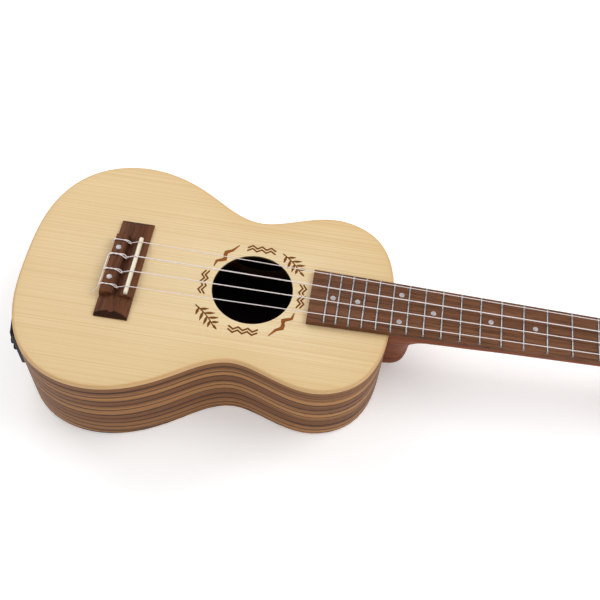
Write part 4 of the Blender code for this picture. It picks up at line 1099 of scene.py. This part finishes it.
def worm_rings(half_length, steps_per_turn):
    """Rings along the worm whose ridge winds once round for every gear pitch."""
    count = WORM_TURNS * steps_per_turn
    run_out = 0.0005
    flank_start = 0.20
    flank = 0.10
    rings = []
    for i in range(count + 1):
        y = half_length * (2.0 * i / count - 1.0)
        fade = min(1.0, (half_length - abs(y)) / run_out)
        ring = []
        for j in range(WORM_SIDES):
            angle = TURN * j / WORM_SIDES
            phase = (y / GEAR_PITCH - j / WORM_SIDES) % 1.0
            away = min(phase, 1.0 - phase)
            ridge = max(0.0, min(1.0, (flank_start - away) / flank))
            radius = WORM_PITCH_RADIUS - WORM_DEPTH + 2.0 * WORM_DEPTH * ridge * fade
            ring.append((radius * math.cos(angle), y, radius * math.sin(angle)))
        rings.append(ring)
    return rings


def add_tuner_worm(label, u, v):
    """Worm, shaft and rounded oval button on the shaft's own axis, button outwards."""
    half = GEAR_PITCH * WORM_TURNS / 2
    inner = -TUNER_PLATE_WIDTH / 2 - 0.0006
    rings = [shaft_ring(SHAFT_RADIUS * 0.8, inner), shaft_ring(SHAFT_RADIUS, inner + 0.0003)]
    rings.append(shaft_ring(SHAFT_RADIUS, -half - 0.0002))
    rings += worm_rings(half, 16)
    rings.append(shaft_ring(SHAFT_RADIUS, half + 0.0002))
    for radius, before in (
        (SHAFT_RADIUS, 0.0024), (0.0025, 0.0021), (0.0026, 0.0018), (0.0023, 0.0004), (0.0022, 0.0001),
    ):
        rings.append(shaft_ring(radius, BUTTON_START - before))
    for share, size, flat in finer_rows(BUTTON_STATIONS, 4):
        rings.append(shaft_ring(BUTTON_RADIUS * size, BUTTON_START + BUTTON_LENGTH * share, flat))
    if v < 0:
        rings = [[(x, -y, -z) for x, y, z in ring] for ring in rings]
    place = Matrix.Translation((u + WORM_OFFSET, v, -WORM_AXIS_DROP))
    add_piece(
        f"tuner_shaft_{label}", loft(rings), "nickel", f"worm_{label}", HEAD @ place,
        replaces=[f"tuner_worm_{label}"], sharp_degrees=50.0,
    )


def screw_mesh():
    """Domed screw head about local z with a cross recess, to be copied."""
    seat = 0.0001
    profile = [(SCREW_RADIUS, -seat), (SCREW_RADIUS, seat)]
    for i in range(1, 6):
        angle = math.pi / 2 * i / 6
        profile.append((SCREW_RADIUS * math.cos(angle), seat + SCREW_RISE * math.sin(angle)))
    screw = new_object("screw", turned(profile, 24), Matrix.Identity(4))
    long_half, wide_half = SCREW_SLOT_HALVES
    for half_x, half_y in ((long_half, wide_half), (wide_half, long_half)):
        cut(screw, box(half_x, half_y, SCREW_SLOT_FLOOR, PAST), Matrix.Identity(4))
    mesh = screw.data
    bpy.data.objects.remove(screw)
    return mesh


def add_screw(name, mesh, place):
    """One more screw with the shared head."""
    builder = bmesh.new()
    builder.from_mesh(mesh)
    add_piece(name, builder, "nickel", placed=place, sharp_degrees=35.0)


def add_tuner_details():
    """Finer shafts and buttons, a ring round each post on the face and two screws in each plate."""
    screw = screw_mesh()
    over = Matrix.Rotation(math.pi, 4, "X")
    for label, (u, v) in POSTS.items():
        add_tuner_worm(label, u, v)
        rings = [circle(radius, 40, height) for radius, height in POST_RING_PROFILE + POST_RING_PROFILE[:1]]
        post_ring = loft(rings, capped=False)
        bmesh.ops.remove_doubles(post_ring, verts=post_ring.verts, dist=1e-6)
        place = HEAD @ Matrix.Translation((u, v, 0.0))
        add_piece(f"post_ring_{label}", post_ring, "nickel", placed=place)
        for end, shift in TUNER_SCREWS.items():
            spot = HEAD @ Matrix.Translation((u + shift, v, TUNER_PLATE_BACK)) @ over
            add_screw(f"tuner_screw_{end}_{label}", screw, spot)


def wall_frame(y):
    """Point on the treble wall's outer face at y, its unit tangent and outward normal."""
    reach = 0.001
    widest = 0.095
    tail = [(x, across) for x, across in half_outline() if x < 0.0 and across <= widest]
    xs, ys = zip(*tail)
    x, ahead, behind = (float(np.interp(-y + step, ys, xs)) for step in (0.0, reach, -reach))
    tangent = Vector((ahead - behind, -2.0 * reach, 0.0)).normalized()
    return Vector((x, y, 0.0)), tangent, Vector((tangent.y, -tangent.x, 0.0))


def panel_sag(s):
    """How far the wall stands out at s along the panel, from the panel's own flat plane."""
    centre, tangent, outward = wall_frame(PANEL_CENTRE_Y)
    wall, _, _ = wall_frame(PANEL_CENTRE_Y - s * abs(tangent.y))
    return (wall - centre).dot(outward)


def panel_place(s, t, rise):
    """Frame at s along the panel, t up it and rise above its face, facing outwards."""
    centre, tangent, outward = wall_frame(PANEL_CENTRE_Y)
    matrix = Matrix((tangent, outward.cross(tangent), outward)).transposed().to_4x4()
    out = PANEL_THICKNESS + panel_sag(s) + rise
    matrix.translation = centre + Vector((0.0, 0.0, PANEL_CENTRE_Z + t)) + s * tangent + out * outward
    return matrix


def panel_outline(inset):
    """Rounded rectangle, with extra points on its long edges so that they can follow the wall."""
    half_x = PANEL_HALF_WIDTH - inset
    half_y = PANEL_HALF_HEIGHT - inset
    run = half_x - PANEL_CORNER
    points = []
    for cx, cy, start in ((1, 1, 0.0), (-1, 1, 0.5), (-1, -1, 1.0), (1, -1, 1.5)):
        for i in range(7):
            angle = math.pi * (start + 0.5 * i / 6)
            points.append((
                cx * run + PANEL_CORNER * math.cos(angle),
                cy * (half_y - PANEL_CORNER) + PANEL_CORNER * math.sin(angle),
            ))
        if cx == cy:
            points += [(cx * run * (1 - i / 6), cy * half_y) for i in range(1, 12)]
    return points


def add_panel():
    """Flat-faced panel whose back follows the wall, with wells for the knobs and a jack opening."""
    middle = TOP @ panel_place(0.0, 0.0, -PANEL_THICKNESS)
    rings = [[(x, y, GAP + panel_sag(x)) for x, y in panel_outline(0.0)]]
    for height, inset in ((0.0022, 0.0), (0.0027, 0.0002), (0.0029, 0.0005), (PANEL_THICKNESS, 0.0010)):
        rings.append([(x, y, height) for x, y in panel_outline(inset)])
    panel = add_piece(
        "panel_plate", loft(rings), "black_plastic", placed=middle,
        replaces=["preamp_panel"], sharp_degrees=35.0,
    )
    holes = [(JACK_PLACE, JACK_OPENING_RADIUS, -PAST)]
    for place in KNOB_PLACES.values():
        well_floor = PANEL_THICKNESS + panel_sag(place[0]) + 0.0003
        holes.append((place, KNOB_STEM_RADIUS + 0.0005, -PAST))
        holes.append((place, KNOB_RADIUS + KNOB_WELL_GAP, well_floor))
    for (s, t), radius, low in holes:
        cut(panel, turned([(radius, low), (radius, PAST)], 48), middle @ Matrix.Translation((s, t, 0.0)))


def add_panel_details():
    """Fluted knobs with a white pointer, and a screw in each corner of the panel."""
    steps = KNOB_FLUTES * 6
    stem = [circle(KNOB_STEM_RADIUS, steps, height) for height in (-KNOB_STEM_LENGTH, 0.0)]
    for label, (s, t) in KNOB_PLACES.items():
        place = TOP @ panel_place(s, t, KNOB_LIFT)
        body = f"{label}_control"
        rings = list(stem)
        for share, height, depth in (
            (0.94, 0.0, 0.0), (1.0, 0.0003, 0.6), (1.0, 0.0006, 1.0), (0.97, KNOB_HEIGHT - 0.0006, 1.0),
            (0.93, KNOB_HEIGHT - 0.0002, 0.6), (0.86, KNOB_HEIGHT, 0.0), (0.5, KNOB_HEIGHT - 0.0001, 0.0),
        ):
            ring = []
            for i in range(steps):
                angle = TURN * i / steps
                groove = FLUTE_DEPTH * depth * (0.5 + 0.5 * math.cos(angle * KNOB_FLUTES)) ** 2
                radius = KNOB_RADIUS * share - groove
                ring.append((radius * math.cos(angle), radius * math.sin(angle), height))
            rings.append(ring)
        add_piece(
            f"{label}_knob", loft(rings), "knob_rubber", body, place,
            replaces=[f"knob_{label}"], sharp_degrees=35.0,
        )
        corners = [(-0.0003, 0.0006), (0.0003, 0.0006), (0.00025, 0.0028), (-0.00025, 0.0028)]
        pointer = loft([[(x, y, KNOB_HEIGHT + z) for x, y in corners] for z in (-0.0001, 0.00006)])
        add_piece(f"{label}_pointer", pointer, "pointer_white", body, place)
    screw = screw_mesh()
    face = TOP @ panel_place(0.0, 0.0, 0.0)
    up = PANEL_HALF_HEIGHT - PANEL_SCREW_INSET
    along = PANEL_HALF_WIDTH - PANEL_SCREW_INSET
    for row, t in (("upper", up), ("lower", -up)):
        for column, s in (("tail", -along), ("waist", along)):
            add_screw(f"panel_screw_{row}_{column}", screw, face @ Matrix.Translation((s, t, 0.0)))


# ----------------------------------------------------------------------- stage


def add_camera():
    """Camera fitted to the frets, bridge and soundhole: above the treble side, near the neck."""
    spot = Vector((0.148006, -0.354013, 0.551096))
    aim = Vector((0.123065, -0.003068, 0.0))
    roll = Matrix.Rotation(math.radians(5.3312), 4, "Z")
    data = bpy.data.cameras.new("camera")
    data.sensor_width = 36.0
    data.lens = 54.058
    data.clip_start = 0.01
    camera = bpy.data.objects.new("camera", data)
    turn = (aim - spot).to_track_quat("-Z", "Y").to_matrix().to_4x4()
    camera.matrix_world = TOP @ Matrix.Translation(spot) @ turn @ roll
    bpy.context.scene.collection.objects.link(camera)
    bpy.context.scene.camera = camera


def add_light(name, spot, target, size, power):
    """Rectangular soft light that faces the target."""
    data = bpy.data.lights.new(name, "AREA")
    data.shape = "RECTANGLE"
    data.size = size[0]
    data.size_y = size[1]
    data.energy = power
    light = bpy.data.objects.new(name, data)
    light.location = spot
    light.rotation_euler = (Vector(target) - Vector(spot)).to_track_quat("-Z", "Y").to_euler()
    bpy.context.scene.collection.objects.link(light)


def add_floor():
    """Pale floor that glows a little, just below the back."""
    builder = bmesh.new()
    bmesh.ops.create_grid(builder, x_segments=4, y_segments=4, size=6.0)
    floor = new_object("floor", builder, Matrix.Translation((0.0, 0.0, -2 * GAP)))
    surface = Shading("floor", roughness=0.9, specular=0.1)
    cloud = surface.noise((3.0, 3.0, 3.0), detail=1.0)
    surface.set("Base Color", surface.mix(cloud, srgb(250, 250, 250), srgb(252, 252, 252)))
    surface.set("Emission Color", srgb(255, 255, 255))
    surface.set("Emission Strength", 0.27)
    floor.data.materials.append(MATERIALS["floor"])


def add_surroundings():
    """White world, brighter near the horizon than overhead."""
    world = bpy.data.worlds.new("surroundings")
    world.use_nodes = True
    tree = world.node_tree
    background = tree.nodes["Background"]
    background.inputs["Color"].default_value = (1.0, 1.0, 1.0, 1.0)
    direction = tree.nodes.new("ShaderNodeTexCoord")
    height = tree.nodes.new("ShaderNodeSeparateXYZ")
    fade = tree.nodes.new("ShaderNodeMapRange")
    tree.links.new(direction.outputs["Generated"], height.inputs["Vector"])
    tree.links.new(height.outputs["Z"], fade.inputs["Value"])
    tree.links.new(fade.outputs["Result"], background.inputs["Strength"])
    for key, value in (("From Min", 0.02), ("From Max", 0.35), ("To Min", 0.88), ("To Max", 0.54)):
        fade.inputs[key].default_value = value
    bpy.context.scene.world = world


def add_lights():
    """Two large softboxes from above and a weak one from the front."""
    target = (0.08, 0.0, 0.05)
    add_light("softbox_neck_side", (1.0, 0.25, 1.25), target, (0.9, 0.9), 9.0)
    add_light("softbox_tail_side", (-0.75, 0.85, 1.2), target, (0.9, 0.9), 8.0)
    add_light("fill_front", (-0.1, -1.4, 0.7), target, (1.4, 0.8), 1.0)
    bpy.context.scene.view_settings.view_transform = "Standard"


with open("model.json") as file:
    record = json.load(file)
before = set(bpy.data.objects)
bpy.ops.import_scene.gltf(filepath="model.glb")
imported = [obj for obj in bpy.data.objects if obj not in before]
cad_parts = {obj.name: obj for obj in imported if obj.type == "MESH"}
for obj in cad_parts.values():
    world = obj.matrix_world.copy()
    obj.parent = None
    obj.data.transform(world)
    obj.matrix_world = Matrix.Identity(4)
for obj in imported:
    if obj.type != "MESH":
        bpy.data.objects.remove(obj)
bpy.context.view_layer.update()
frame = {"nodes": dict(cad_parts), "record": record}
add_camera()
add_floor()
add_surroundings()
add_lights()
make_materials()
dress_nodes(frame["nodes"], frame["record"])
add_soundboard()
add_bridge()
add_fretboard()
add_frets()
add_strings()
add_ornament()
add_neck()
add_tuner_details()
add_panel()
add_panel_details()
